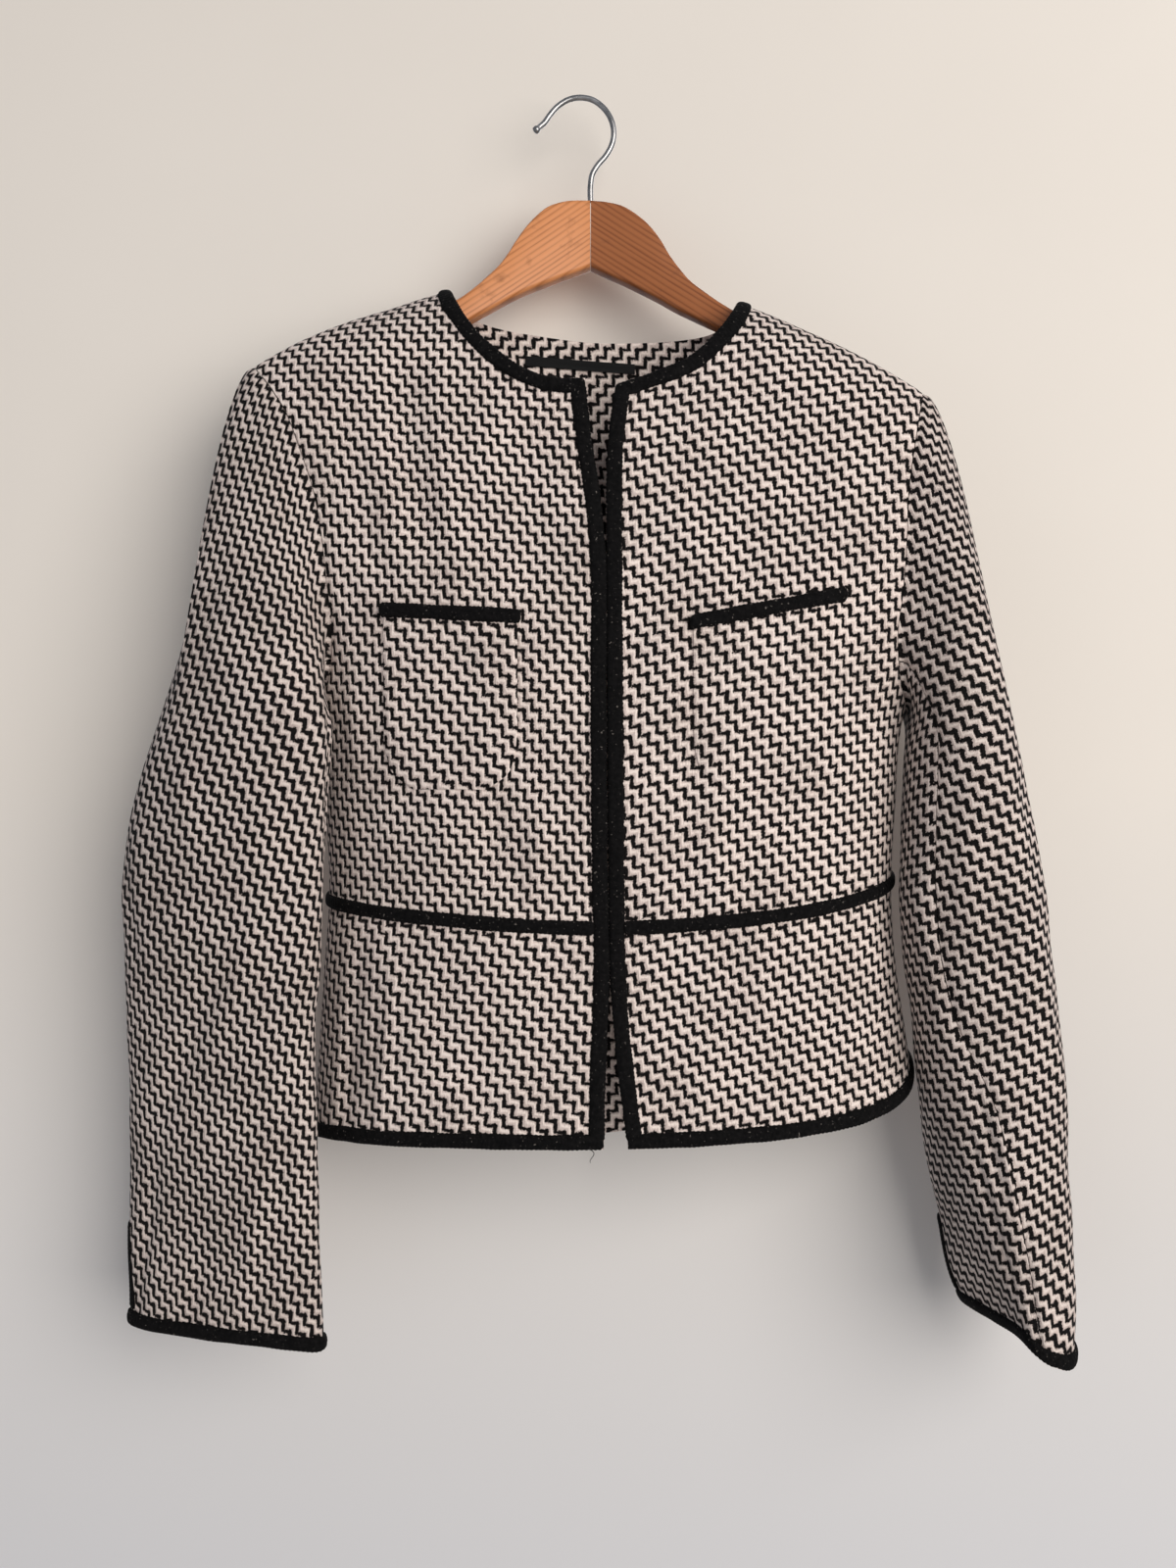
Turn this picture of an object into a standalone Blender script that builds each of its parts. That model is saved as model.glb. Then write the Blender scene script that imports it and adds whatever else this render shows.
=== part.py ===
"""Cropped tweed jacket with black braid, hanging open on a shaped wooden hanger.

Metres, +Z up. The origin is the inside of the hook's top, where the hook rests on its peg.
-Y is the front of the jacket. "left" and "right" are the wearer's, so the right front is at -X.

The body is one closed form around the hanger, worked out from a table of level sections.
A point on it is given by an angle PHI round the section (0 centre front, 90 deg the wearer's left
side, 180 deg centre back, 270 deg or -90 deg the wearer's right side) and a height z.
Every panel is a four-sided patch of that form, and every sleeve piece is a patch of a tube that
starts on the armhole.
"""

import bpy
import numpy as np

MM = 0.001
WALL = 1.6 * MM              # thickness of the tweed
SEAM = 0.3 * MM              # space between pieces that are sewn together
ARM_SEAM = 0.45 * MM         # the same where the curved armhole and sleeve head meet
LIFT = 0.6 * MM              # space under a piece that lies on a panel
BRAID_WIDTH = 8.5 * MM
BRAID_THICK = 1.8 * MM
POCKET_WALL = 1.4 * MM
TAPE_THICK = 0.5 * MM
WIRE = 3.4 * MM              # hook wire, across

QUARTER = np.pi / 2
FRONT_ROUND = 45 * MM        # height over which the front rounds over the shoulder ridge
BACK_ROUND = 30 * MM

# One row per level, in mm: height, centre line, half width at the wearer's right and left,
# depth of the front, of the back, and of the right and left side line.
BODY_COLUMNS = ("z", "centre", "half_r", "half_l", "front", "back", "side_r", "side_l")
BODY_ROWS = (
    (-640, 18, 176, 182, -71, 19, -2, -4),
    (-605, 18, 175, 180, -71, 18, -2, -4),
    (-560, 17, 171, 175, -70, 15, -3, -6),
    (-515, 16, 167, 169, -69, 12, -4, -9),
    (-475, 16, 164, 166, -70, 11, -5, -10),
    (-420, 15, 165, 169, -72, 14, -6, -12),
    (-372, 15, 168, 173, -71, 16, -7, -12),
    (-345, 15, 174, 181, -70, 16, -9, -13),
    (-300, 14, 186, 200, -67, 15, -12, -14),
    (-250, 12, 212, 222, -62, 13, -18, -18),
    (-200, 9, 240, 238, -56, 11, -25, -25),
    (-160, 8, 258, 246, -49, 9, -28, -28),
    (-100, 8, 262, 250, -40, 8, -30, -30),
)
SQUARE_R, SQUARE_L, SQUARE_BACK = 2.3, 2.6, 2.8

# The shoulder ridge that rests on the hanger: across, height (mm).
RIDGE_ROWS = (
    (-215, -189), (-187, -168), (-165, -154.3), (-137, -140.8), (-110, -131), (-84, -121.5),
    (-40, -119), (10, -119), (60, -120), (99, -129), (130, -143.5), (163, -161), (197, -183),
    (225, -203),
)
RIDGE_BLEND = 6 * MM         # depth under the ridge over which a neck line turns to follow it
RIDGE_BEND, RIDGE_REACH, RIDGE_POWER = 32 * MM, 190 * MM, 1.3

# Centre front edges: height, right edge, left edge (mm).
WAIST_AT_FRONT = -487 * MM
OPENING_ROWS = (
    (-640, 13.2, 28.0), (-609, 13.3, 26.7), (-569, 13.9, 21.9), (-537, 15.3, 18.7),
    (-515, 16.0, 17.3), (-462, 15.1, 16.4), (-354, 14.3, 15.6), (-279, 13.9, 15.3),
    (-246, 10.8, 15.3), (-218, 6.6, 16.2), (-186, 3.1, 19.9), (-170, 2.0, 21.0),
)
# Necklines from the centre to the ridge: across, height (mm).
NECK_R_ROWS = (
    (3.1, -180.6), (-9, -180.9), (-21.7, -178.6), (-34, -172.9), (-45, -165), (-55.6, -154.9),
    (-63, -145), (-69.5, -134), (-74.5, -122.5), (-76.5, -117.6),
)
NECK_L_ROWS = (
    (20, -184.3), (35, -179.4), (49, -174), (60.3, -168.4), (69.6, -160.7), (78.6, -150.7),
    (85.6, -140.7), (90.5, -130.5), (92.6, -125.6),
)
NECK_BACK_ROWS = (
    (-76.5, -117.6), (-72, -123), (-64, -129.5), (-50, -134), (-31, -137.5), (6, -142.4),
    (40, -142.6), (64, -141), (80, -137.5), (89, -131), (92.6, -125.6),
)
# Seam round the body at the waist, and the hem: angle (deg), height (mm).
WAIST_ROWS = (
    (-90, -475), (-70, -477), (-40, -482), (0, -487), (40, -479), (70, -468), (90, -462),
    (130, -470), (180, -480), (230, -480), (270, -475),
)
HEM_ROWS = (
    (-90, -614), (-60, -611), (-30, -609), (0, -608), (35, -603), (60, -594), (76, -584),
    (90, -573), (105, -572), (135, -594), (180, -620), (225, -622), (270, -614),
)
# Armholes: height, angle of the front edge, angle of the back edge from the side (deg).
ARM_R_ROWS = (
    (-366, 90, 0), (-358, 75, 14), (-345, 65.5, 26), (-320, 60, 33), (-297, 57, 36),
    (-253, 49.5, 40), (-208, 46.5, 41), (-185, 47.5, 40.5), (-168, 50, 40),
)
ARM_L_ROWS = (
    (-366, 90, 0), (-360, 79, 12), (-349, 69.5, 24), (-325, 61, 32), (-297, 57, 36),
    (-255, 51.5, 39), (-229, 50, 40), (-200, 50, 40), (-183, 50.5, 39.5),
)
TIP_R, TIP_L = -187 * MM, 197 * MM

# Largest folds: angle and height where each starts and ends (deg, mm), half width (deg), depth (mm).
FOLD_COLUMNS = ("phi_0", "z_0", "phi_1", "z_1", "half", "depth")
FOLD_ROWS = (
    (-24, -150, -32, -300, 3.2, -4.0),
    (-29, -190, -38, -290, 4.0, 1.6),
    (-9, -200, -11, -310, 4.0, -2.0),
    (33, -190, 30, -300, 4.5, -2.4),
    (-22, -395, -24, -470, 4.0, -2.0),
    (150, -180, 155, -330, 8.0, -2.5),
    (208, -180, 204, -330, 8.0, -2.5),
)

# Sleeve tubes, one row per level, in mm and deg: height, middle across, middle in depth, half
# width, half thickness, turn of the section, twist of the cloth round it, squareness, dent inside.
SLEEVE_COLUMNS = ("z", "x", "y", "half_w", "half_t", "turn", "twist", "square", "dent")
SLEEVE_R_ROWS = (
    (-722, -200.7, -43, 58.2, 12, 12, 100, 2.6, 0),
    (-680, -201.0, -44, 57.5, 14, 12, 97, 2.4, 0),
    (-628, -201.5, -45, 57.0, 17, 13, 92, 2.3, 0),
    (-551, -202.5, -46, 56.5, 20, 13, 78, 2.2, 0),
    (-496, -202.0, -47, 59.5, 22, 13, 68, 2.2, 0),
    (-452, -200.5, -48, 60.2, 23.5, 13, 60, 2.2, 0),
    (-408, -195.0, -49, 56.8, 25.5, 14, 54, 2.2, 0),
    (-380, -189.5, -49, 53.0, 26, 15, 50, 2.2, 0),
)
SLEEVE_L_ROWS = (
    (-727, 252.5, -36, 21.0, 41.5, 7, -26, 2.6, 14),
    (-700, 247.0, -34, 28.5, 42.0, 13, -26, 2.5, 13),
    (-665, 243.5, -32, 32.5, 42.5, 14, -25, 2.4, 7),
    (-625, 239.0, -31, 37.0, 42.5, 14, -24, 2.3, 3),
    (-589, 237.0, -31, 38.5, 42.5, 11, -18, 2.3, -2),
    (-533, 233.0, -32, 37.5, 43.5, 4, 2, 2.3, -7),
    (-480, 228.0, -33, 37.0, 44.0, 0, 4, 2.3, -8),
    (-430, 223.0, -34, 34.0, 44.5, 0, 4, 2.2, -5),
    (-385, 218.5, -34, 29.0, 44.5, 0, 4, 2.2, -2),
)
# Lower edge of each sleeve: angle round the sleeve (deg), height (mm).
CUFF_R_ROWS = ((-100, -716), (-10, -719), (80, -724), (130, -723), (200, -718), (260, -716))
CUFF_L_ROWS = (
    (-100, -714), (-50, -720), (0, -723), (60, -727), (110, -726), (130, -721), (150, -717),
    (200, -715), (260, -714),
)
CROWN_GIRTH, CROWN_BELL = 47 * MM, 145 * MM    # half the head's width over pi, and its height
VENT_TOP_R, VENT_TOP_L = -657 * MM, -662 * MM
VENT_OPEN = 2.4              # how far each edge of the cuff vent stands from the seam line (deg)

# Stations of the grids, as shares. A panel's outer edge turns from the side seam into the armhole
# at ARM_START, and the sleeve's lines meet the armhole at the same stations.
ARM_START = 0.32
PANEL_ROWS = (
    0, 0.04, 0.17, ARM_START, 0.355, 0.41, 0.48, 0.545, 0.611, 0.70, 0.79, 0.88, 0.945, 0.98, 0.995, 1
)
SKIPPED_ROWS = (0.945, 0.995)   # stations of the armhole that the sleeve leaves out
FRONT_SEAM_ROW, BACK_SEAM_ROW = 0.48, 0.611
NECK_SHARE = 0.42            # share of a front panel's top edge that is neckline
BACK_NECK = (0.30, 0.70)
FRONT_COLUMNS = (
    0, 0.05, 0.13, 0.21, 0.28, 0.33, 0.365, 0.385, 0.403, NECK_SHARE, 0.46, 0.53, 0.62, 0.74, 0.87, 1
)
HALF_COLUMNS = np.array([0, 0.07, 0.14, 0.21, 0.27, 0.30, 0.3105, 0.321, 0.334, 0.36, 0.40, 0.45])
BACK_COLUMNS = np.concatenate([HALF_COLUMNS, [0.5], 1 - HALF_COLUMNS[::-1]])
PEPLUM_ROWS = (0, 0.05, 0.5, 1)
HEAD_ROWS = (0, 0.03, 0.09, 0.20, 0.36, 0.56, 0.78)
SLEEVE_ROWS = np.concatenate([HEAD_ROWS, np.linspace(1, 2, 7)])
SEAM_PHI = SEAM / 2 / (170 * MM)
SIDE_PHI = QUARTER - SEAM_PHI
PHI_SCALE = 90 * MM          # length that one radian counts for along a line of (phi, z)


def table(rows, columns):
    """Columns of a table as arrays by name, kept in the order of the first column."""
    grid = np.array(rows, float)
    grid = grid[np.argsort(grid[:, 0])]
    return {name: grid[:, i] for i, name in enumerate(columns)}


def curve(at, knots, values):
    """Cubic through the values at the knots, with the slope of each knot from its neighbours."""
    at = np.clip(at, knots[0], knots[-1])
    i = np.clip(np.searchsorted(knots, at, side="right") - 1, 0, len(knots) - 2)
    step = knots[i + 1] - knots[i]
    t = (at - knots[i]) / step
    slope = np.gradient(values, knots)
    start = (2 * t**3 - 3 * t**2 + 1) * values[i] + (t**3 - 2 * t**2 + t) * step * slope[i]
    end = (3 * t**2 - 2 * t**3) * values[i + 1] + (t**3 - t**2) * step * slope[i + 1]
    return start + end


def column(at, rows, name, columns):
    """One column of a table of mm, at this height in metres, in metres."""
    found = table(rows, columns)
    return curve(np.asarray(at) / MM, found[columns[0]], found[name]) * MM


def pair(at, rows):
    """A table of two columns as a function, in the table's own units."""
    found = table(rows, ("a", "b"))
    return curve(np.asarray(at), found["a"], found["b"])


def unit(vectors):
    return vectors / np.linalg.norm(vectors, axis=-1, keepdims=True)


def ridge_height(x):
    return pair(x / MM, RIDGE_ROWS) * MM


def ridge_depth(x):
    return -RIDGE_BEND * (np.abs(x - 6 * MM) / RIDGE_REACH) ** RIDGE_POWER


def folds(phi, z):
    """Depth of the folds: each a smooth trough or ridge along a line, fading at both ends."""
    total = np.zeros(np.broadcast(phi, z).shape)
    for row in FOLD_ROWS:
        fold = dict(zip(FOLD_COLUMNS, row))
        along = (z / MM - fold["z_0"]) / (fold["z_1"] - fold["z_0"])
        middle = fold["phi_0"] + (fold["phi_1"] - fold["phi_0"]) * along
        across = (np.degrees(phi) - middle) / fold["half"]
        fade = np.sin(np.pi * np.clip(along, 0, 1)) ** 0.8
        total += fold["depth"] * MM * fade * np.exp(-(across**2))
    return total


def body(phi, z):
    """Point of the outer face of the body form at this angle and height.

    Across, x = centre + half * sin(phi). In depth, a superellipse between the side line and the
    front or back, drawn in to the ridge over a quarter ellipse near the shoulder.
    """
    phi, z = np.broadcast_arrays(np.asarray(phi, float), np.asarray(z, float))
    at = {name: column(z, BODY_ROWS, name, BODY_COLUMNS) for name in BODY_COLUMNS[1:]}
    left = np.sin(phi) > 0
    front = np.cos(phi) > 0
    half = np.where(left, at["half_l"], at["half_r"])
    side = np.where(left, at["side_l"], at["side_r"])
    square = np.where(front, np.where(left, SQUARE_L, SQUARE_R), SQUARE_BACK)
    reach = np.where(front, at["front"], at["back"]) - side
    share = (1 - np.clip(np.abs(np.sin(phi)), 0, 1) ** square).clip(0) ** (1 / square)
    x = at["centre"] + half * np.sin(phi)
    y = side + reach * share
    below = (ridge_height(x) - z).clip(1e-6)
    radius = np.where(front, FRONT_ROUND, BACK_ROUND)
    rounding = np.sqrt(1 - (1 - np.clip(below / radius, 0, 1)) ** 2)
    ridge = ridge_depth(x)
    y = ridge + (y - ridge) * rounding
    y = y - np.where(front, 1, -1) * folds(phi, z) * rounding
    return np.stack([x, y, z], -1)


def body_normal(phi, z):
    """Outward direction, from steps to either side; near the ridge the step up is taken down."""
    step_phi, step_z = 0.01, 0.4 * MM
    ring = body(phi + step_phi, z) - body(phi - step_phi, z)
    room = (ridge_height(body(phi, z)[..., 0]) - z).clip(0)
    up = body(phi, z + np.minimum(step_z, room * 0.5)) - body(phi, z - step_z)
    return unit(np.cross(ring, up))


def phi_at(x, z, behind=False):
    """Angle at which the form stands this far across at this height."""
    centre = column(z, BODY_ROWS, "centre", BODY_COLUMNS)
    half = np.where(
        x > centre,
        column(z, BODY_ROWS, "half_l", BODY_COLUMNS),
        column(z, BODY_ROWS, "half_r", BODY_COLUMNS),
    )
    angle = np.arcsin(np.clip((x - centre) / half, -1, 1))
    return np.pi - angle if behind else angle


def shares(points):
    """Share of a line's length at each of its points."""
    steps = np.linalg.norm(np.diff(points, axis=0), axis=1)
    length = np.concatenate([[0], np.cumsum(steps)])
    return length / length[-1]


def coons(bottom, top, start, end, across, rows):
    """Four-sided patch: each boundary is a function of a share from 0 to 1 that gives (phi, z)."""
    a = np.asarray(across)[:, None, None]
    r = np.asarray(rows)[None, :, None]
    low, high = bottom(a[:, :, 0]), top(a[:, :, 0])
    first, last = start(r[:, :, 0]), end(r[:, :, 0])
    corners = (1 - a) * (1 - r) * low[:1] + a * (1 - r) * low[-1:]
    corners = corners + (1 - a) * r * high[:1] + a * r * high[-1:]
    return (1 - r) * low + r * high + (1 - a) * first + a * last - corners


def polyline(points):
    """Function of a share of the length of a line of points."""
    points = np.asarray(points, float)
    length = shares(points * np.array([PHI_SCALE, 1.0]))

    def at(share):
        phi, z = (np.interp(share, length, points[:, i]) for i in range(2))
        return np.stack([phi, z], -1)

    return at


def joined(first, second, turn):
    """Two lines as one: the first up to this share, then the second."""

    def at(share):
        before = first(np.clip(share / turn, 0, 1))
        after = second(np.clip((share - turn) / (1 - turn), 0, 1))
        return np.where((share < turn)[..., None], before, after)

    return at


def neck_points(rows, behind, fine=90, width=0.0):
    """Neck edge as (phi, z), or the line a braid's width into the panel.

    The width is laid off from the edge in a plane of distance across and distance below the
    ridge, so that it never leaves the cloth.
    """
    found = np.array(rows, float) * MM
    found[-1, 1] = ridge_height(found[-1, 0])
    if behind:
        found[0, 1] = ridge_height(found[0, 0])
    share = np.linspace(0, 1, len(found))
    even = np.linspace(0, 1, fine)
    ends = 0.5 - 0.5 * np.cos(np.pi * even)
    fine_share = ends if behind else 1 - (1 - even) ** 2.2
    x = curve(fine_share, share, found[:, 0])
    z = np.minimum(curve(fine_share, share, found[:, 1]), ridge_height(x) - 1e-6)
    if width:
        below = ridge_height(x) - z
        rates = [np.gradient(x, fine_share), np.gradient(below, fine_share)]
        along = unit(np.stack(rates, -1))
        sense = 1.0 if behind else np.sign(found[-1, 0] - found[0, 0])
        deeper = sense * along[:, 0] * width * np.clip(below / RIDGE_BLEND, 0, 1)
        x = x - sense * along[:, 1] * width
        below = np.maximum(below + deeper, 1e-6)
        z = ridge_height(x) - below
    return np.stack([phi_at(x, z, behind), z], -1)


def shoulder_points(x_neck, x_tip, behind, fine=120):
    x = np.linspace(x_neck, x_tip, fine)
    z = ridge_height(x) - 2e-6
    return np.stack([phi_at(x, z, behind), z], -1)


def arm_line(side, behind, fine=50):
    """Armhole edge from the underarm up to the shoulder tip, as (phi, z)."""
    found = np.array(ARM_L_ROWS if side > 0 else ARM_R_ROWS, float)
    share = np.linspace(0, 1, len(found))
    fine_share = np.linspace(0, 1, fine)
    z = curve(fine_share, share, found[:, 0]) * MM
    if behind:
        phi = QUARTER + np.radians(curve(fine_share, share, found[:, 2]))
    else:
        phi = np.radians(curve(fine_share, share, found[:, 1]))
    tip = TIP_L if side > 0 else TIP_R
    z_tip = ridge_height(np.array(tip)) - 2e-6
    phi_tip = phi_at(np.array(tip), z_tip, behind)
    if side < 0:
        phi = 2 * np.pi - phi if behind else -phi
    ease = np.clip((fine_share - 0.6) / 0.4, 0, 1) ** 2
    phi = phi + ease * (phi_tip - phi[-1])
    z = z + ease * (z_tip - z[-1])
    return np.stack([phi, z], -1)


def waist(phi):
    return pair(np.degrees(phi), WAIST_ROWS) * MM


def hem(phi):
    return pair(np.degrees(phi), HEM_ROWS) * MM


def edge_phi(z, side):
    """Angle of the centre front edge at this height."""
    found = table(OPENING_ROWS, ("z", "right", "left"))
    x = curve(np.asarray(z) / MM, found["z"], found["left" if side > 0 else "right"]) * MM
    return phi_at(x, z)


def waist_line(start_phi, end_phi):
    """Lower edge of an upper panel, as a function of the share of its angle."""

    def at(share):
        phi = start_phi + (end_phi - start_phi) * share
        return np.stack([phi, waist(phi) + SEAM / 2], -1)

    return at


def side_line(phi, arm):
    """Outer edge of an upper panel: the side seam, then the armhole."""
    z = np.array([waist(phi) + SEAM / 2, arm[0, 1]])
    flank = polyline(np.stack([np.full(2, phi), z], -1))
    return joined(flank, polyline(arm), ARM_START)


def front_panel(side):
    """Upper front from the waist seam to the neck and shoulder, as (phi, z) points."""
    rows, tip = (NECK_L_ROWS, TIP_L) if side > 0 else (NECK_R_ROWS, TIP_R)
    neck = neck_points(rows, False)
    shoulder = shoulder_points(rows[-1][0] * MM, tip, False)
    arm = arm_line(side, False)
    arm[:, 0] -= side * SEAM_PHI
    shoulder[-1] = arm[-1]
    z_edge = np.linspace(WAIST_AT_FRONT, neck[0, 1], 40)
    edge = np.stack([edge_phi(z_edge, side), z_edge], -1)
    edge[0, 1] = waist(edge[0, 0]) + SEAM / 2
    edge[-1] = neck[0]
    top = joined(polyline(neck), polyline(shoulder), NECK_SHARE)
    low = waist_line(edge[0, 0], side * SIDE_PHI)
    outside = side_line(side * SIDE_PHI, arm)
    return coons(low, top, polyline(edge), outside, FRONT_COLUMNS, PANEL_ROWS)


def back_panel():
    """Upper back from side to side, as (phi, z) points."""
    neck = neck_points(NECK_BACK_ROWS, True)[::-1]
    left = shoulder_points(TIP_L, NECK_L_ROWS[-1][0] * MM, True)
    right = shoulder_points(NECK_R_ROWS[-1][0] * MM, TIP_R, True)
    arm_left, arm_right = arm_line(1, True), arm_line(-1, True)
    arm_left[:, 0] += SEAM_PHI
    arm_right[:, 0] -= SEAM_PHI
    left[0], right[-1] = arm_left[-1], arm_right[-1]
    start_phi, end_phi = np.pi - SIDE_PHI, np.pi + SIDE_PHI
    inner = joined(polyline(left), polyline(neck), BACK_NECK[0] / BACK_NECK[1])
    top = joined(inner, polyline(right), BACK_NECK[1])
    start, end = side_line(start_phi, arm_left), side_line(end_phi, arm_right)
    return coons(waist_line(start_phi, end_phi), top, start, end, BACK_COLUMNS, PANEL_ROWS)


def peplum_panel(start_phi, end_phi, columns, side=0):
    """Lower panel between the waist seam and the hem. A front one ends on the centre front edge."""
    a, r = np.asarray(columns)[:, None], np.asarray(PEPLUM_ROWS)[None, :]
    phi = start_phi + (end_phi - start_phi) * a + 0 * r
    z = (waist(phi) - SEAM / 2) * (1 - r) + hem(phi) * r
    if side:
        phi = phi + (edge_phi(z, side) - start_phi) * (1 - a)
        z = (waist(phi) - SEAM / 2) * (1 - r) + hem(phi) * r
    return np.stack([phi, z], -1)


def sleeve_ring(phi, z, side):
    """Point of the sleeve tube below the underarm, at an angle round the cloth and a height."""
    rows = SLEEVE_L_ROWS if side > 0 else SLEEVE_R_ROWS
    at = {name: column(z, rows, name, SLEEVE_COLUMNS) / MM for name in SLEEVE_COLUMNS[1:]}
    psi = phi + np.radians(at["twist"])
    square = 2 / at["square"]
    w = at["half_w"] * np.sign(np.cos(psi)) * np.abs(np.cos(psi)) ** square
    w = w + at["dent"] * np.clip(-np.cos(psi + 0.25), 0, 1) ** 3
    t = -at["half_t"] * np.sign(np.sin(psi)) * np.abs(np.sin(psi)) ** square
    turn = np.radians(at["turn"])
    x = side * (w * np.cos(turn) - t * np.sin(turn))
    y = w * np.sin(turn) + t * np.cos(turn)
    return np.stack([(x + at["x"]) * MM, (y + at["y"]) * MM, z + 0 * x], -1)


def crown_shares():
    """Angle round the sleeve from the shoulder tip, and the share of the armhole passed by then."""
    angle = np.linspace(0, np.pi, 200)
    rate = np.hypot(CROWN_GIRTH, 0.5 * CROWN_BELL * np.sin(angle))
    length = np.concatenate([[0], np.cumsum((rate[1:] + rate[:-1]) / 2)])
    return angle, length / length[-1]


def arm_ring(phi, side):
    """Armhole at an angle round the sleeve, 0 at the shoulder tip and 180 deg at the underarm.

    Gives the point, the body's outward direction there, and the direction away from the panel.
    """
    phi = np.mod(phi, 2 * np.pi)
    behind = phi > np.pi
    share = np.interp(np.where(behind, 2 * np.pi - phi, phi), *crown_shares())
    found, normal, outward = np.zeros((3,) + phi.shape + (3,))
    for rear in (False, True):
        line = arm_line(side, rear)[::-1]
        run = shares(line * np.array([PHI_SCALE, 1.0]))
        space = body(line[:, 0], line[:, 1])
        square = body_normal(line[:, 0], line[:, 1])
        away = unit(np.cross(square, np.gradient(space, axis=0))) * (-side if rear else side)
        clear = space + ARM_SEAM * away
        use = behind if rear else ~behind
        for i in range(3):
            found[..., i][use] = np.interp(share, run, clear[:, i])[use]
            normal[..., i][use] = np.interp(share, run, square[:, i])[use]
            outward[..., i][use] = np.interp(share, run, away[:, i])[use]
    return found, unit(normal), unit(outward)


def seam_angle(row, behind):
    """Angle round the sleeve at the armhole station of this panel row."""
    angle, length = crown_shares()
    found = np.interp(1 - (row - ARM_START) / (1 - ARM_START), length, angle)
    return 2 * np.pi - found if behind else found


def tube_top(side):
    return max(row[0] for row in (SLEEVE_L_ROWS if side > 0 else SLEEVE_R_ROWS)) * MM


def cuff(phi, side):
    """Height of the sleeve's lower edge at this angle."""
    start, end = -100, 260
    angle = start + np.mod(np.degrees(phi) - start, end - start)
    angle = np.where(np.degrees(phi) > 180, np.degrees(phi), angle)
    return pair(angle, CUFF_L_ROWS if side > 0 else CUFF_R_ROWS) * MM


def sleeve(phi, w, side):
    """Point of a sleeve: w from 0 at the armhole to 1 at the top of the tube, then 2 at the cuff.

    The head is a cubic from the armhole, leaving outwards, to the tube, arriving downwards.
    """
    phi, w = np.broadcast_arrays(np.asarray(phi, float), np.asarray(w, float))
    z_top = np.full(phi.shape, tube_top(side))
    start, _, away = arm_ring(phi, side)
    end = sleeve_ring(phi, z_top, side)
    drop = 20 * MM
    down = (sleeve_ring(phi, z_top - drop, side) - end) / drop
    reach = np.linalg.norm(end - start, axis=-1, keepdims=True)
    leave = unit(away + np.array([side * 0.9, -0.05, -0.5])) * (0.28 * reach + 5 * MM)
    arrive = down * reach * 0.75
    t = np.clip(w, 0, 1)[..., None]
    head = (2 * t**3 - 3 * t**2 + 1) * start + (t**3 - 2 * t**2 + t) * leave
    head = head + (3 * t**2 - 2 * t**3) * end + (t**3 - t**2) * arrive
    z = z_top + (cuff(phi, side) - z_top) * np.clip(w - 1, 0, 1)
    return np.where((w <= 1)[..., None], head, sleeve_ring(phi, z, side))


def rate_at(z, phi, side):
    """The w of this height on the tube."""
    return 1 + (tube_top(side) - z) / (tube_top(side) - cuff(phi, side))


def sleeve_normal(phi, w, side):
    step_phi, step_w = 0.02, 0.01
    ring = sleeve(phi + step_phi, w, side) - sleeve(phi - step_phi, w, side)
    above = sleeve(phi, w - np.minimum(step_w, w), side)
    below = sleeve(phi, np.minimum(w + step_w, 2), side)
    found = unit(np.cross(ring, above - below)) * -side
    at_arm = arm_ring(phi, side)[1]
    share = np.clip(1 - w / 0.06, 0, 1)[..., None]
    return unit(found * (1 - share) + at_arm * share)


jacket = bpy.data.collections.new("tweed_jacket_on_hanger")
for thing in list(bpy.data.objects):
    bpy.data.objects.remove(thing, do_unlink=True)
bpy.context.scene.collection.children.link(jacket)


def finish(name, color, rough, metal=0.0):
    made = bpy.data.materials.new(name)
    made.use_nodes = True
    shader = made.node_tree.nodes["Principled BSDF"]
    shader.inputs["Base Color"].default_value = (*color, 1)
    shader.inputs["Roughness"].default_value = rough
    shader.inputs["Metallic"].default_value = metal
    return made


TWEED = finish("tweed", (0.42, 0.37, 0.33), 0.95)
BRAID = finish("black_braid", (0.012, 0.012, 0.016), 0.9)
TAPE = finish("label_tape", (0.015, 0.015, 0.018), 0.7)
WOOD_PALE = finish("wood_right_arm", (0.55, 0.30, 0.13), 0.5)
WOOD_DARK = finish("wood_left_arm", (0.38, 0.17, 0.06), 0.5)
STEEL = finish("hook_steel", (0.62, 0.62, 0.63), 0.3, 1.0)


def add(name, points, faces, look):
    mesh = bpy.data.meshes.new(name)
    mesh.from_pydata(np.asarray(points).tolist(), [], faces)
    mesh.validate()
    made = bpy.data.objects.new(name, mesh)
    made.data.materials.append(look)
    jacket.objects.link(made)
    return made


def thin_solid(name, outer, inner, look, flip=False):
    """Closed thin piece from two like grids of points, the outer face and the inner face."""
    across, along = outer.shape[:2]
    count = across * along
    points = np.concatenate([outer.reshape(-1, 3), inner.reshape(-1, 3)])
    index = np.arange(count).reshape(across, along)
    a, b, c, d = index[:-1, :-1], index[1:, :-1], index[1:, 1:], index[:-1, 1:]
    face = np.stack([a, b, c, d], -1).reshape(-1, 4)
    back = face[:, ::-1] + count
    rim = np.concatenate([index[:, 0], index[-1, 1:], index[-2::-1, -1], index[0, -2:0:-1]])
    following = np.roll(rim, -1)
    wall = np.stack([rim, rim + count, following + count, following], -1)
    faces = np.concatenate([face, back, wall])
    if flip:
        faces = faces[:, ::-1]
    return add(name, points, faces.tolist(), look)


def faces_in(face, normal):
    """Whether the grid's faces point against this outward direction."""
    square = np.cross(np.diff(face, axis=0)[:, :-1], np.diff(face, axis=1)[:-1])
    return np.sum(square * normal[:-1, :-1]) < 0


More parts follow.
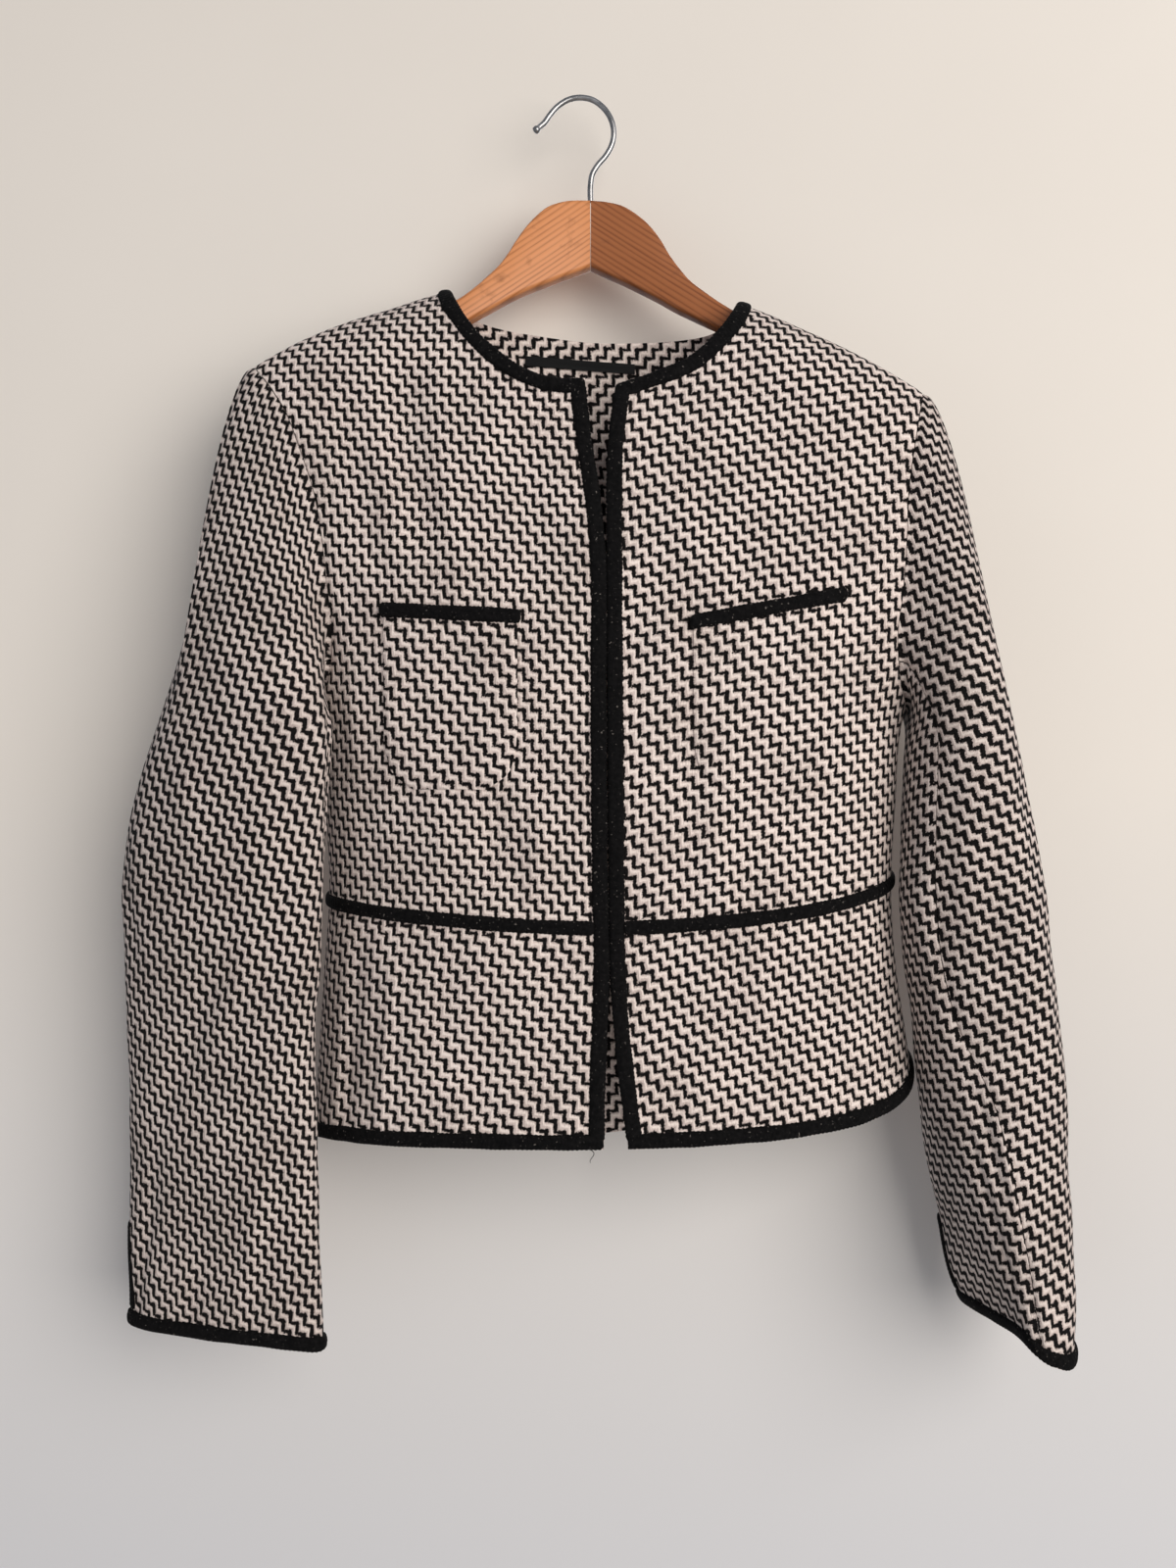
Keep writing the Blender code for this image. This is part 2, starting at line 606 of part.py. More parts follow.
def panel(name, where, wall=WALL, lift=0.0, upper=False):
    """Thin piece of the body form at a grid of (phi, z). Along the ridge its wall stands upright."""
    phi, z = where[..., 0], where[..., 1]
    normal = body_normal(phi, z)
    if upper:
        flat = unit(normal[:, -1] * np.array([1.0, 0.0, 1.0]))
        on_ridge = ridge_height(body(phi, z)[:, -1, 0]) - z[:, -1] < 0.2 * MM
        normal[:, -1] = np.where(on_ridge[:, None], flat, normal[:, -1])
    face = body(phi, z) + lift * normal
    return thin_solid(name, face, face - wall * normal, TWEED, faces_in(face, normal))


def strip(name, first, second, lift=LIFT):
    """Flat braid laid on the body between two lines of (phi, z)."""
    where = np.stack([first, second], 1)
    normal = body_normal(where[..., 0], where[..., 1])
    under = body(where[..., 0], where[..., 1]) + lift * normal
    over = under + BRAID_THICK * normal
    return thin_solid(name, over, under, BRAID, faces_in(over, normal))


def sleeve_braid(name, phi, w, side):
    """Flat braid laid on a sleeve at a grid of angles and w."""
    normal = sleeve_normal(phi, w, side)
    under = sleeve(phi, w, side) + LIFT * normal
    over = under + BRAID_THICK * normal
    return thin_solid(name, over, under, BRAID, faces_in(over, normal))


panel("front_right", front_panel(-1), upper=True)
panel("front_left", front_panel(1), upper=True)
panel("back", back_panel(), upper=True)
panel("peplum_front_right", peplum_panel(0, -SIDE_PHI, FRONT_COLUMNS, -1))
panel("peplum_front_left", peplum_panel(0, SIDE_PHI, FRONT_COLUMNS, 1))
panel("peplum_back", peplum_panel(np.pi - SIDE_PHI, np.pi + SIDE_PHI, BACK_COLUMNS))

# Each sleeve is cut in two: the under sleeve lies between the front seam and the back seam, and
# the back seam ends in an open vent with its own braid.
GAP_PHI = SEAM / CROWN_GIRTH
meeting = [row for row in PANEL_ROWS if row >= ARM_START and row not in SKIPPED_ROWS]
front_lines = np.array([seam_angle(row, False) for row in meeting])
back_lines = np.array([seam_angle(row, True) for row in meeting])
front_seam, back_seam = seam_angle(FRONT_SEAM_ROW, False), seam_angle(BACK_SEAM_ROW, True)
under_lines = np.concatenate([front_lines, back_lines[1:]])
under_lines = np.sort(under_lines[(under_lines > front_seam) & (under_lines < back_seam)])
top_lines = np.concatenate([front_lines, back_lines[:-1] - 2 * np.pi])
top_lines = np.sort(top_lines[(top_lines > back_seam - 2 * np.pi) & (top_lines < front_seam)])
CUTS = (
    ("top", back_seam - 2 * np.pi, top_lines, front_seam, 1, 0),
    ("under", front_seam, under_lines, back_seam, 0, 1),
)


def vent_spread(w, vent_w):
    return np.radians(VENT_OPEN) * np.clip((w - vent_w) / (2 - vent_w), 0, 1)


for side, word, vent_top in ((-1, "right", VENT_TOP_R), (1, "left", VENT_TOP_L)):
    vent_w = float(rate_at(vent_top, back_seam, side))
    spread = vent_spread(SLEEVE_ROWS, vent_w)
    for cut, start, lines, stop, start_vent, stop_vent in CUTS:
        first = start + GAP_PHI + start_vent * spread
        last = stop - GAP_PHI - stop_vent * spread
        inner = np.broadcast_to(lines[:, None], (len(lines), len(SLEEVE_ROWS)))
        phi = np.concatenate([first[None], inner, last[None]])
        w = np.broadcast_to(SLEEVE_ROWS, phi.shape)
        face, normal = sleeve(phi, w, side), sleeve_normal(phi, w, side)
        thin_solid(f"sleeve_{cut}_{word}", face, face - WALL * normal, TWEED, side < 0)

    low = back_seam - 2 * np.pi + GAP_PHI + np.radians(VENT_OPEN)
    high = back_seam - GAP_PHI - np.radians(VENT_OPEN)
    ends = (low, front_seam - GAP_PHI, front_seam + GAP_PHI, high)
    phi = np.concatenate([ends[:1], top_lines, ends[1:3], under_lines, ends[3:]])
    top_edge = rate_at(cuff(phi, side) + BRAID_WIDTH, phi, side)
    w = np.stack([top_edge, np.full(len(phi), 2.0)], -1)
    sleeve_braid(f"braid_cuff_{word}", np.broadcast_to(phi[:, None], w.shape), w, side)

    low_z = float(cuff(back_seam, side)) + BRAID_WIDTH + SEAM
    w = np.linspace(vent_w, float(rate_at(low_z, back_seam, side)), 7)
    spread = vent_spread(w, vent_w)
    for cut, edge, sense in (("top", back_seam - 2 * np.pi, 1), ("under", back_seam, -1)):
        walk = np.linspace(0, 0.7, 60)
        edge_line = edge + sense * (GAP_PHI + spread)
        inner_line = []
        for phi, rate in zip(edge_line, w):
            steps = np.diff(sleeve(phi + sense * walk, np.full(60, rate), side), axis=0)
            run = np.concatenate([[0], np.cumsum(np.linalg.norm(steps, axis=1))])
            inner_line.append(phi + sense * np.interp(BRAID_WIDTH, run, walk))
        phi = np.stack([edge_line, (edge_line + inner_line) / 2, inner_line])
        sleeve_braid(f"braid_vent_{cut}_{word}", phi, np.broadcast_to(w, phi.shape), side)


def neck_lines(rows, behind, count):
    """Edge and inner line of the neck braid, as two lines of (phi, z)."""
    index = np.round(np.linspace(0, 1, count) * 239).astype(int)
    return [neck_points(rows, behind, 240, width)[index] for width in (0, BRAID_WIDTH)]


def line_pair(first, second):
    """Points and outward directions between two lines of (phi, z)."""
    where = np.stack([first, second], 1)
    return body(where[..., 0], where[..., 1]), body_normal(where[..., 0], where[..., 1])


def ridge_pair(x_edge, x_inner):
    """The same on the shoulder ridge itself, where the outward direction is up."""
    x = np.array([x_edge, x_inner])
    rise = (ridge_height(x + MM) - ridge_height(x - MM)) / (2 * MM)
    points = np.stack([x, ridge_depth(x), ridge_height(x)], -1)
    return points[None], unit(np.stack([-rise, 0 * x, 1 + 0 * x], -1))[None]


right_neck, left_neck = neck_lines(NECK_R_ROWS, False, 20), neck_lines(NECK_L_ROWS, False, 20)
back_neck = neck_lines(NECK_BACK_ROWS, True, 24)
for lines, side in ((right_neck, -1), (left_neck, 1)):
    low = lines[0][0, 1] - BRAID_WIDTH
    lines[1][0] = (edge_phi(low, side), low)
x_neck_r, x_neck_l = NECK_R_ROWS[-1][0] * MM, NECK_L_ROWS[-1][0] * MM
around = [
    line_pair(right_neck[0][:-1], right_neck[1][:-1]),
    ridge_pair(x_neck_r, x_neck_r - BRAID_WIDTH),
    line_pair(back_neck[0][1:-1], back_neck[1][1:-1]),
    ridge_pair(x_neck_l, x_neck_l + BRAID_WIDTH),
    line_pair(left_neck[0][-2::-1], left_neck[1][-2::-1]),
]
under = np.concatenate([points + LIFT * normal for points, normal in around])
over = under + BRAID_THICK * np.concatenate([normal for _, normal in around])
thin_solid("braid_neck", over, under, BRAID, False)

for side, word, rows in ((-1, "right", NECK_R_ROWS), (1, "left", NECK_L_ROWS)):
    start = rows[0][1] * MM - BRAID_WIDTH - SEAM
    z = np.linspace(start, float(hem(0.0)) + BRAID_WIDTH + 4 * SEAM, 22)
    edge = np.stack([edge_phi(z, side), z], -1)
    x_inner = body(edge[:, 0], z)[:, 0] + side * BRAID_WIDTH
    strip(f"braid_front_{word}", edge, np.stack([phi_at(x_inner, z), z], -1))


def all_round(z_edge, inset):
    """Angles from one centre front edge round the back to the other, and each one from 0 to 360."""
    right, left = (
        float(phi_at(body(edge_phi(z_edge, side), z_edge)[0] + side * inset, z_edge)) for side in (-1, 1)
    )
    share = np.linspace(0, 1, 15)
    front_right = right + (-SIDE_PHI - right) * share
    behind = np.linspace(-QUARTER, -3 * QUARTER, 21)[1:-1]
    front_left = -2 * np.pi + left + (SIDE_PHI - left) * share[::-1]
    phi = np.concatenate([front_right, behind, front_left])
    return phi, np.where(phi < -QUARTER, phi + 2 * np.pi, phi)


phi, turned = all_round(WAIST_AT_FRONT, BRAID_WIDTH + SEAM)
lines = [np.stack([phi, waist(turned) + step], -1) for step in (BRAID_WIDTH / 2, -BRAID_WIDTH / 2)]
strip("braid_waist", *lines)
phi, turned = all_round(float(hem(0.0)), 0.0)
strip("braid_hem", *[np.stack([phi, hem(turned) + step], -1) for step in (BRAID_WIDTH, 0.0)])

# Patch pockets: depth down the pocket and width there, as shares. Their braid covers the mouth.
POCKET_ROWS = ((0, 1), (0.25, 1), (0.5, 1), (0.7, 0.99), (0.82, 0.95), (0.92, 0.84), (1, 0.55))
POCKET_BRAID_OVER, POCKET_BRAID_PAST = 1.5 * MM, 2 * MM
for word, x_out, x_in, z_out, z_in, z_low in (
    ("right", -109 * MM, -34 * MM, -308.5 * MM, -313.5 * MM, -411 * MM),
    ("left", 146 * MM, 62.5 * MM, -300.5 * MM, -316.5 * MM, -411.5 * MM),
):
    share = np.linspace(0, 1, 8)[:, None]
    down, half = np.array(POCKET_ROWS).T
    x = (x_out + x_in) / 2 + (x_in - x_out) * (share - 0.5) * half
    z_top = z_out + (z_in - z_out) * (0.5 + (share - 0.5) * half)
    z = z_top + (z_low - z_top) * down
    where = np.stack([phi_at(x, z), z], -1)
    panel(f"pocket_{word}", where, wall=POCKET_WALL, lift=LIFT + POCKET_WALL)
    past = np.sign(x_in - x_out) * POCKET_BRAID_PAST
    x = np.linspace(x_out - past, x_in + past, 11)
    z = z_out + (z_in - z_out) * (x - x_out) / (x_in - x_out) + POCKET_BRAID_OVER
    lines = [np.stack([phi_at(x, z - step), z - step], -1) for step in (0, BRAID_WIDTH - SEAM)]
    strip(f"braid_pocket_{word}", *lines, lift=LIFT + POCKET_WALL + LIFT)

LABEL_HALF, LABEL_TALL = 33 * MM, 5.8 * MM
LABEL_RIGHT, LABEL_LEFT = -150.6 * MM, -155.8 * MM     # height of its top edge at each end
x = np.linspace(-LABEL_HALF, LABEL_HALF, 8)[:, None]
z = np.interp(x, (-LABEL_HALF, LABEL_HALF), (LABEL_RIGHT, LABEL_LEFT)) - np.array([0, LABEL_TALL])
x = np.broadcast_to(x, z.shape)
phi = phi_at(x, z, True)
normal = body_normal(phi, z)
near = body(phi, z) - (WALL + LIFT + TAPE_THICK) * normal
thin_solid("neck_label", near + TAPE_THICK * normal, near, TAPE, False)

# Hanger arms, one row per station: across, top, foot, thickness (mm).
WOOD_R_ROWS = (
    (6.0, -61.2, -100.8, 12), (-2.9, -61.4, -104.4, 12), (-10, -62.4, -107.2, 12),
    (-18.5, -65.5, -110.8, 12), (-25, -70.7, -113.6, 12), (-31.5, -77.8, -116.4, 12),
    (-37.6, -86.5, -119.6, 12), (-42.7, -94.9, -122.4, 12), (-48, -102.2, -125.6, 12),
    (-55, -109.2, -129.8, 12), (-62.5, -116.2, -134.2, 12), (-73.5, -124.2, -141.2, 11.5),
    (-88, -129, -148.2, 11), (-110, -136.7, -156.5, 11), (-135, -145.4, -164.5, 10.5),
    (-158, -156.2, -173.5, 10), (-172, -164.6, -179, 9), (-176, -168.5, -177.5, 7),
)
WOOD_L_ROWS = (
    (6.4, -61.2, -100.8, 12), (16, -62.4, -105.6, 12), (25.6, -65.3, -110.2, 12),
    (34.3, -71.1, -114.8, 12), (41.3, -77.7, -118.6, 12), (47.6, -86.2, -122.2, 12),
    (52.7, -95.2, -125.4, 12), (58.4, -103.4, -128.8, 12), (65.2, -111.6, -132.4, 12),
    (74.2, -118.9, -137.2, 11.5), (84, -126.2, -142.2, 11.5), (95, -132.8, -149.4, 11),
    (115, -141.2, -159.5, 11), (140, -153.6, -171.5, 10.5), (165, -167.6, -184, 10),
    (180, -177.0, -190.5, 9), (184.5, -181, -188.5, 7),
)
EDGE_ROUND = 2.8 * MM


def hanger_arm(name, rows, look):
    """Shaped arm: rounded sections stood along the arm, bent forward with the shoulder ridge."""
    turn = np.linspace(0, 2 * np.pi, 17)[:-1]
    corner = np.sign(np.cos(turn + 0.01)), np.sign(np.sin(turn + 0.01))
    bend = QUARTER * np.tile(np.linspace(0, 1, 4), 4) + QUARTER * np.repeat(np.arange(4), 4)
    sections = []
    for x, top, foot, thick in np.array(rows) * MM:
        radius = min(EDGE_ROUND, thick * 0.45, (top - foot) * 0.45)
        y = ridge_depth(x) + corner[0] * (thick / 2 - radius) + radius * np.cos(bend)
        z = (top + foot) / 2 + corner[1] * ((top - foot) / 2 - radius) + radius * np.sin(bend)
        sections.append(np.stack([np.full(16, x), y, z], -1))
    grid = np.array(sections)
    stations, sides = grid.shape[:2]
    index = np.arange(stations * sides).reshape(stations, sides)
    following = np.roll(index, -1, axis=1)
    wall = np.stack([index[:-1], index[1:], following[1:], following[:-1]], -1)
    faces = wall.reshape(-1, 4).tolist() + [index[0].tolist(), index[-1, ::-1].tolist()]
    if rows[-1][0] > rows[0][0]:
        faces = [face[::-1] for face in faces]
    return add(name, grid.reshape(-1, 3), faces, look)


hanger_arm("hanger_arm_right", WOOD_R_ROWS, WOOD_PALE)
hanger_arm("hanger_arm_left", WOOD_L_ROWS, WOOD_DARK)

# Middle of the hook wire from the tip over the top to the stem: across, height (mm).
HOOK_ROWS = (
    (-24.4, -16.0), (-21.2, -13.2), (-18.4, -9.2), (-13.2, -3.4), (-7, 0.4), (0, 1.7),
    (7.6, 0.2), (14, -4.5), (18.6, -11.7), (20.1, -19), (18.9, -26.4), (15.2, -33.2),
    (10.4, -38.8), (7.2, -44.4), (6.2, -50.5), (6.2, -60.6),
)
TIP_RADIUS, TIP_LONG, TIP_AT, TIP_TURN = 2.3 * MM, 3.0 * MM, (-26.1 * MM, 0, -17.5 * MM), 48.8
wire = bpy.data.curves.new("hook_wire", "CURVE")
wire.dimensions = "3D"
wire.bevel_depth = WIRE / 2
wire.bevel_resolution = 2
wire.resolution_u = 4
wire.use_fill_caps = True
path = wire.splines.new("BEZIER")
path.bezier_points.add(len(HOOK_ROWS) - 1)
for point, (x, z) in zip(path.bezier_points, HOOK_ROWS):
    point.co = (x * MM, 0, z * MM)
    point.handle_left_type = point.handle_right_type = "AUTO"
hook = bpy.data.objects.new("hook_wire", wire)
wire.materials.append(STEEL)
jacket.objects.link(hook)

bpy.ops.mesh.primitive_cylinder_add(vertices=16, radius=TIP_RADIUS, depth=TIP_LONG, location=TIP_AT)
tip = bpy.context.object
tip.name = "hook_tip"
tip.rotation_euler = (0, np.radians(TIP_TURN), 0)
tip.data.materials.append(STEEL)
rounded = tip.modifiers.new("edge", "BEVEL")
rounded.width = 0.7 * MM
rounded.segments = 2
for found in list(tip.users_collection):
    found.objects.unlink(tip)
jacket.objects.link(tip)
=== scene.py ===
"""Cropped tweed jacket with black knitted braid, hanging open on a shaped wooden hanger.

Metres, +Z up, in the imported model's own frame: the origin is the inside of the hook's top, -Y is
the jacket's front, and left and right are the wearer's, so the right front is at -X.
"""

import bpy
import numpy as np
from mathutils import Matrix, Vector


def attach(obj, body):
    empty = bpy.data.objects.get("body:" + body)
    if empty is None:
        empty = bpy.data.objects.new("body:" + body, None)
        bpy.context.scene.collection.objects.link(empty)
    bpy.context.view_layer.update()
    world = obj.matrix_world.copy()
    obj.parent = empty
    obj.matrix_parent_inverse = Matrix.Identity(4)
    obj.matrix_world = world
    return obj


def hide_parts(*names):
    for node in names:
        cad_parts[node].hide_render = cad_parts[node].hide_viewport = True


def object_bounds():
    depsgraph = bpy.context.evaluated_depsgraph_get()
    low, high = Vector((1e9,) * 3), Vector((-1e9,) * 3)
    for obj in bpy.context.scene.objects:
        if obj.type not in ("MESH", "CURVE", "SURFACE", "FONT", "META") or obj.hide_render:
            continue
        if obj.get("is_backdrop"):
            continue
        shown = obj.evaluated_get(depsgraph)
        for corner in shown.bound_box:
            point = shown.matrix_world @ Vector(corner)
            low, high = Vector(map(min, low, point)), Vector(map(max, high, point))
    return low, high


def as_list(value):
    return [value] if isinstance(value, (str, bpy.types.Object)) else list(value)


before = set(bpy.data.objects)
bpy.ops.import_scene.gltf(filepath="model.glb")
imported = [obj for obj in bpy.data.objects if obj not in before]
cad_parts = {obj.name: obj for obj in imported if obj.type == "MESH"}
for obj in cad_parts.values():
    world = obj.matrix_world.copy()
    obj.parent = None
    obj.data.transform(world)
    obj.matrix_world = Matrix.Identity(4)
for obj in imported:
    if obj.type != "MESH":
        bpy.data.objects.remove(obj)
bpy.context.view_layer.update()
MM = 0.001

# ---------------------------------------------------------------------------------------------
# Hanger arms. Two shaped arms of solid beech, butted at the middle and bent forward towards the
# shoulders, with rounded edges and a satin varnish that has dulled. The hook screws in between.
# Each row: across, top, foot, thickness (mm).
# ---------------------------------------------------------------------------------------------
WOOD_R_ROWS = (
    (6.0, -61.2, -100.8, 12), (-2.9, -61.4, -104.4, 12), (-10, -62.4, -107.2, 12),
    (-18.5, -65.5, -110.8, 12), (-25, -70.7, -113.6, 12), (-31.5, -77.8, -116.4, 12),
    (-37.6, -86.5, -119.6, 12), (-42.7, -94.9, -122.4, 12), (-48, -102.2, -125.6, 12),
    (-55, -109.2, -129.8, 12), (-62.5, -116.2, -134.2, 12), (-73.5, -124.2, -141.2, 11.5),
    (-88, -129, -148.2, 11), (-110, -136.7, -156.5, 11), (-135, -145.4, -164.5, 10.5),
    (-158, -156.2, -173.5, 10), (-172, -164.6, -179, 9), (-176, -168.5, -177.5, 7),
)
WOOD_L_ROWS = (
    (6.4, -61.2, -100.8, 12), (16, -62.4, -105.6, 12), (25.6, -65.3, -110.2, 12),
    (34.3, -71.1, -114.8, 12), (41.3, -77.7, -118.6, 12), (47.6, -86.2, -122.2, 12),
    (52.7, -95.2, -125.4, 12), (58.4, -103.4, -128.8, 12), (65.2, -111.6, -132.4, 12),
    (74.2, -118.9, -137.2, 11.5), (84, -126.2, -142.2, 11.5), (95, -132.8, -149.4, 11),
    (115, -141.2, -159.5, 11), (140, -153.6, -171.5, 10.5), (165, -167.6, -184, 10),
    (180, -177.0, -190.5, 9), (184.5, -181, -188.5, 7),
)
EDGE_ROUND = 2.8 * MM
RIDGE_BEND, RIDGE_REACH, RIDGE_POWER = 32 * MM, 190 * MM, 1.3


def curve(at, knots, values):
    """Cubic through the values at the knots, with the slope of each knot from its neighbours."""
    at = np.clip(at, knots[0], knots[-1])
    i = np.clip(np.searchsorted(knots, at, side="right") - 1, 0, len(knots) - 2)
    step = knots[i + 1] - knots[i]
    t = (at - knots[i]) / step
    slope = np.gradient(values, knots)
    start = (2 * t**3 - 3 * t**2 + 1) * values[i] + (t**3 - 2 * t**2 + t) * step * slope[i]
    end = (3 * t**2 - 2 * t**3) * values[i + 1] + (t**3 - t**2) * step * slope[i + 1]
    return start + end


def unit(vectors):
    return vectors / np.linalg.norm(vectors, axis=-1, keepdims=True)


def ridge_depth(x):
    """How far forward the shoulder line lies: a power of the distance from the middle."""
    return -RIDGE_BEND * (np.abs(x - 6 * MM) / RIDGE_REACH) ** RIDGE_POWER


def piece(name, points, faces, look, uv=None, sharp=40):
    """Mesh object from points and faces, smooth shaded with edges over `sharp` degrees kept crisp."""
    mesh = bpy.data.meshes.new(name)
    mesh.from_pydata(points.reshape(-1, 3).tolist(), [], [face.tolist() for face in faces])
    mesh.update()
    mesh.polygons.foreach_set("use_smooth", np.ones(len(mesh.polygons), bool))
    mesh.set_sharp_from_angle(angle=np.radians(sharp))
    if uv is not None:
        corners = np.zeros(len(mesh.loops), np.int32)
        mesh.loops.foreach_get("vertex_index", corners)
        layer = mesh.uv_layers.new(name="cloth")
        layer.data.foreach_set("uv", uv.reshape(-1, 2)[corners].astype(np.float32).ravel())
    made = bpy.data.objects.new(name, mesh)
    made.data.materials.append(look)
    bpy.context.scene.collection.objects.link(made)
    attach(made, "root")
    return made


def loft(grid, closed_ends=True):
    """Faces of a tube from a grid of stations by points round it, each end closed by one face."""
    stations, sides = grid.shape[:2]
    index = np.arange(stations * sides).reshape(stations, sides)
    following = np.roll(index, -1, axis=1)
    wall = np.stack([index[:-1], index[1:], following[1:], following[:-1]], -1).reshape(-1, 4)
    faces = list(wall)
    if closed_ends:
        faces += [index[0], index[-1, ::-1]]
    return faces


def turned_out(points, faces):
    """The faces in the order that makes a closed mesh's volume positive."""
    flat = points.reshape(-1, 3)
    corner = np.array([[face[0], face[1], face[2]] for face in faces])
    a, b, c = (flat[corner[:, i]] - flat.mean(0) for i in range(3))
    inward = np.sum(a * np.cross(b, c)) < 0
    return [face[::-1] for face in faces] if inward else faces


def nodes_of(name):
    """New material, with a function that adds a node, sets its values and links its inputs."""
    look = bpy.data.materials.new(name)
    look.use_nodes = True
    tree = look.node_tree
    shader = tree.nodes["Principled BSDF"]

    def node(kind, inputs=(), **settings):
        made = tree.nodes.new(kind)
        for key, value in settings.items():
            setattr(made, key, value)
        for key, value in dict(inputs).items():
            if isinstance(value, bpy.types.NodeSocket):
                tree.links.new(value, made.inputs[key])
            else:
                made.inputs[key].default_value = value
        return made

    def plug(value, key):
        tree.links.new(value, shader.inputs[key])

    def sum_of(operation, *values):
        inputs = {i: value for i, value in enumerate(values)}
        return node("ShaderNodeMath", inputs, operation=operation).outputs[0]

    return look, shader, node, plug, sum_of


def ramp(node, factor, *stops):
    """Colour ramp with these (position, colour) stops."""
    made = node("ShaderNodeValToRGB", {"Fac": factor})
    elements = made.color_ramp.elements
    while len(elements) < len(stops):
        elements.new(0.5)
    for element, (position, color) in zip(elements, stops):
        element.position = position
        element.color = (*color, 1)
    return made.outputs["Color"]


def beech(name, pale, deep, lean, marks):
    """Varnished beech: growth lines across Z that lean along the arm, fine pores, and scuffs."""
    look, shader, node, plug, sum_of = nodes_of(name)
    where = node("ShaderNodeTexCoord").outputs["Object"]
    turned = node("ShaderNodeMapping", {"Vector": where, "Rotation": (0, lean, 0)}).outputs[0]
    long = node("ShaderNodeMapping", {"Vector": turned, "Scale": (7, 60, 190)}).outputs[0]
    warp = node("ShaderNodeTexNoise", {"Vector": long, "Scale": 0.35, "Detail": 3.0}).outputs["Fac"]
    lines = node(
        "ShaderNodeTexWave",
        {"Vector": long, "Scale": 0.55, "Distortion": 5.5, "Detail": 3.0, "Detail Scale": 0.6},
        bands_direction="Z",
    ).outputs["Fac"]
    streak = node("ShaderNodeMapping", {"Vector": turned, "Scale": (60, 400, 1500)}).outputs[0]
    pores = node("ShaderNodeTexNoise", {"Vector": streak, "Scale": 1.0, "Detail": 4.0}).outputs["Fac"]
    tone = sum_of("ADD", sum_of("MULTIPLY", lines, 0.55), sum_of("MULTIPLY", warp, 0.45))
    tone = sum_of("ADD", sum_of("MULTIPLY", tone, 0.75), sum_of("MULTIPLY", pores, 0.25))
    wood = ramp(node, tone, (0.22, deep), (0.42, pale), (0.75, tuple(c * 1.12 for c in pale)))
    scuff = node("ShaderNodeTexNoise", {"Vector": where, "Scale": marks, "Detail": 6.0}).outputs["Fac"]
    scuffed = node(
        "ShaderNodeMapRange", {"Value": scuff, "From Min": 0.60, "From Max": 0.74}
    ).outputs[0]
    wear_and_shade = node(
        "ShaderNodeMix",
        {"Factor": sum_of("MULTIPLY", scuffed, 0.45), "A": wood, "B": (*[c * 0.45 for c in deep], 1)},
        data_type="RGBA",
    )
    plug(wear_and_shade.outputs[2], "Base Color")
    rough = sum_of("ADD", sum_of("MULTIPLY", scuffed, 0.2), 0.38)
    plug(rough, "Roughness")
    shader.inputs["Specular IOR Level"].default_value = 0.3
    shader.inputs["Coat Weight"].default_value = 0.12
    shader.inputs["Coat Roughness"].default_value = 0.3
    bump = node("ShaderNodeBump", {"Height": tone, "Strength": 0.25, "Distance": 0.0004})
    plug(bump.outputs[0], "Normal")
    return look


def wooden_arm(name, rows, look):
    """Rounded oblong sections stood along the arm, each row's sizes read from a cubic along it."""
    found = np.array(rows, float) * MM
    share = np.linspace(0, 1, len(found))
    fine = 1 - (1 - np.linspace(0, 1, 110)) ** 1.15
    x, top, foot, thick = (curve(fine, share, found[:, i]) for i in range(4))
    radius = np.minimum(EDGE_ROUND, np.minimum(thick * 0.45, (top - foot) * 0.45))
    corner = np.repeat(np.array([[1, 1], [-1, 1], [-1, -1], [1, -1]]), 6, axis=0)
    bend = np.pi / 2 * (np.tile(np.linspace(0, 1, 6), 4) + np.repeat(np.arange(4), 6))
    y = ridge_depth(x)[:, None] + corner[:, 0] * (thick / 2 - radius)[:, None]
    y = y + radius[:, None] * np.cos(bend)
    z = ((top + foot) / 2)[:, None] + corner[:, 1] * ((top - foot) / 2 - radius)[:, None]
    z = z + radius[:, None] * np.sin(bend)
    grid = np.stack([np.broadcast_to(x[:, None], y.shape), y, z], -1)
    faces = turned_out(grid, loft(grid))
    return piece(name + "_wood", grid, faces, look, sharp=50)


# One beech in a lit and a shaded copy: the left arm's is drawn about half as bright, painted shade for the
# arm turned from the light.
wood_pale = beech("beech_right_arm", (0.64, 0.255, 0.098), (0.40, 0.140, 0.045), 0.62, 95)
wood_shaded = beech("beech_left_arm_shaded", (0.33, 0.112, 0.038), (0.20, 0.058, 0.018), -0.60, 70)
arm_right = wooden_arm("hanger_arm_right", WOOD_R_ROWS, wood_pale)
arm_left = wooden_arm("hanger_arm_left", WOOD_L_ROWS, wood_shaded)
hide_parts("hanger_arm_right")
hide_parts("hanger_arm_left")

# ---------------------------------------------------------------------------------------------
# Hook. One length of 3.4 mm plated steel wire, bent to a round crook over an offset stem, with a
# small swaged end. The plating is bright with dull patches.
# Each row: across, height of the wire's middle (mm), from the tip over the top to the stem.
# ---------------------------------------------------------------------------------------------
HOOK_ROWS = (
    (-24.4, -16.0), (-21.2, -13.2), (-18.4, -9.2), (-13.2, -3.4), (-7, 0.4), (0, 1.7),
    (7.6, 0.2), (14, -4.5), (18.6, -11.7), (20.1, -19), (18.9, -26.4), (15.2, -33.2),
    (10.4, -38.8), (7.2, -44.4), (6.2, -50.5), (6.2, -60.6),
)
WIRE = 3.4 * MM
TIP_ROWS = ((-1.7, 0.9), (-1.5, 1.6), (-1.0, 2.15), (0, 2.3), (1.0, 2.15), (1.5, 1.7), (1.9, 1.6))
TIP_AT, TIP_TURN = np.array([-26.1, 0, -17.5]) * MM, np.radians(48.8)


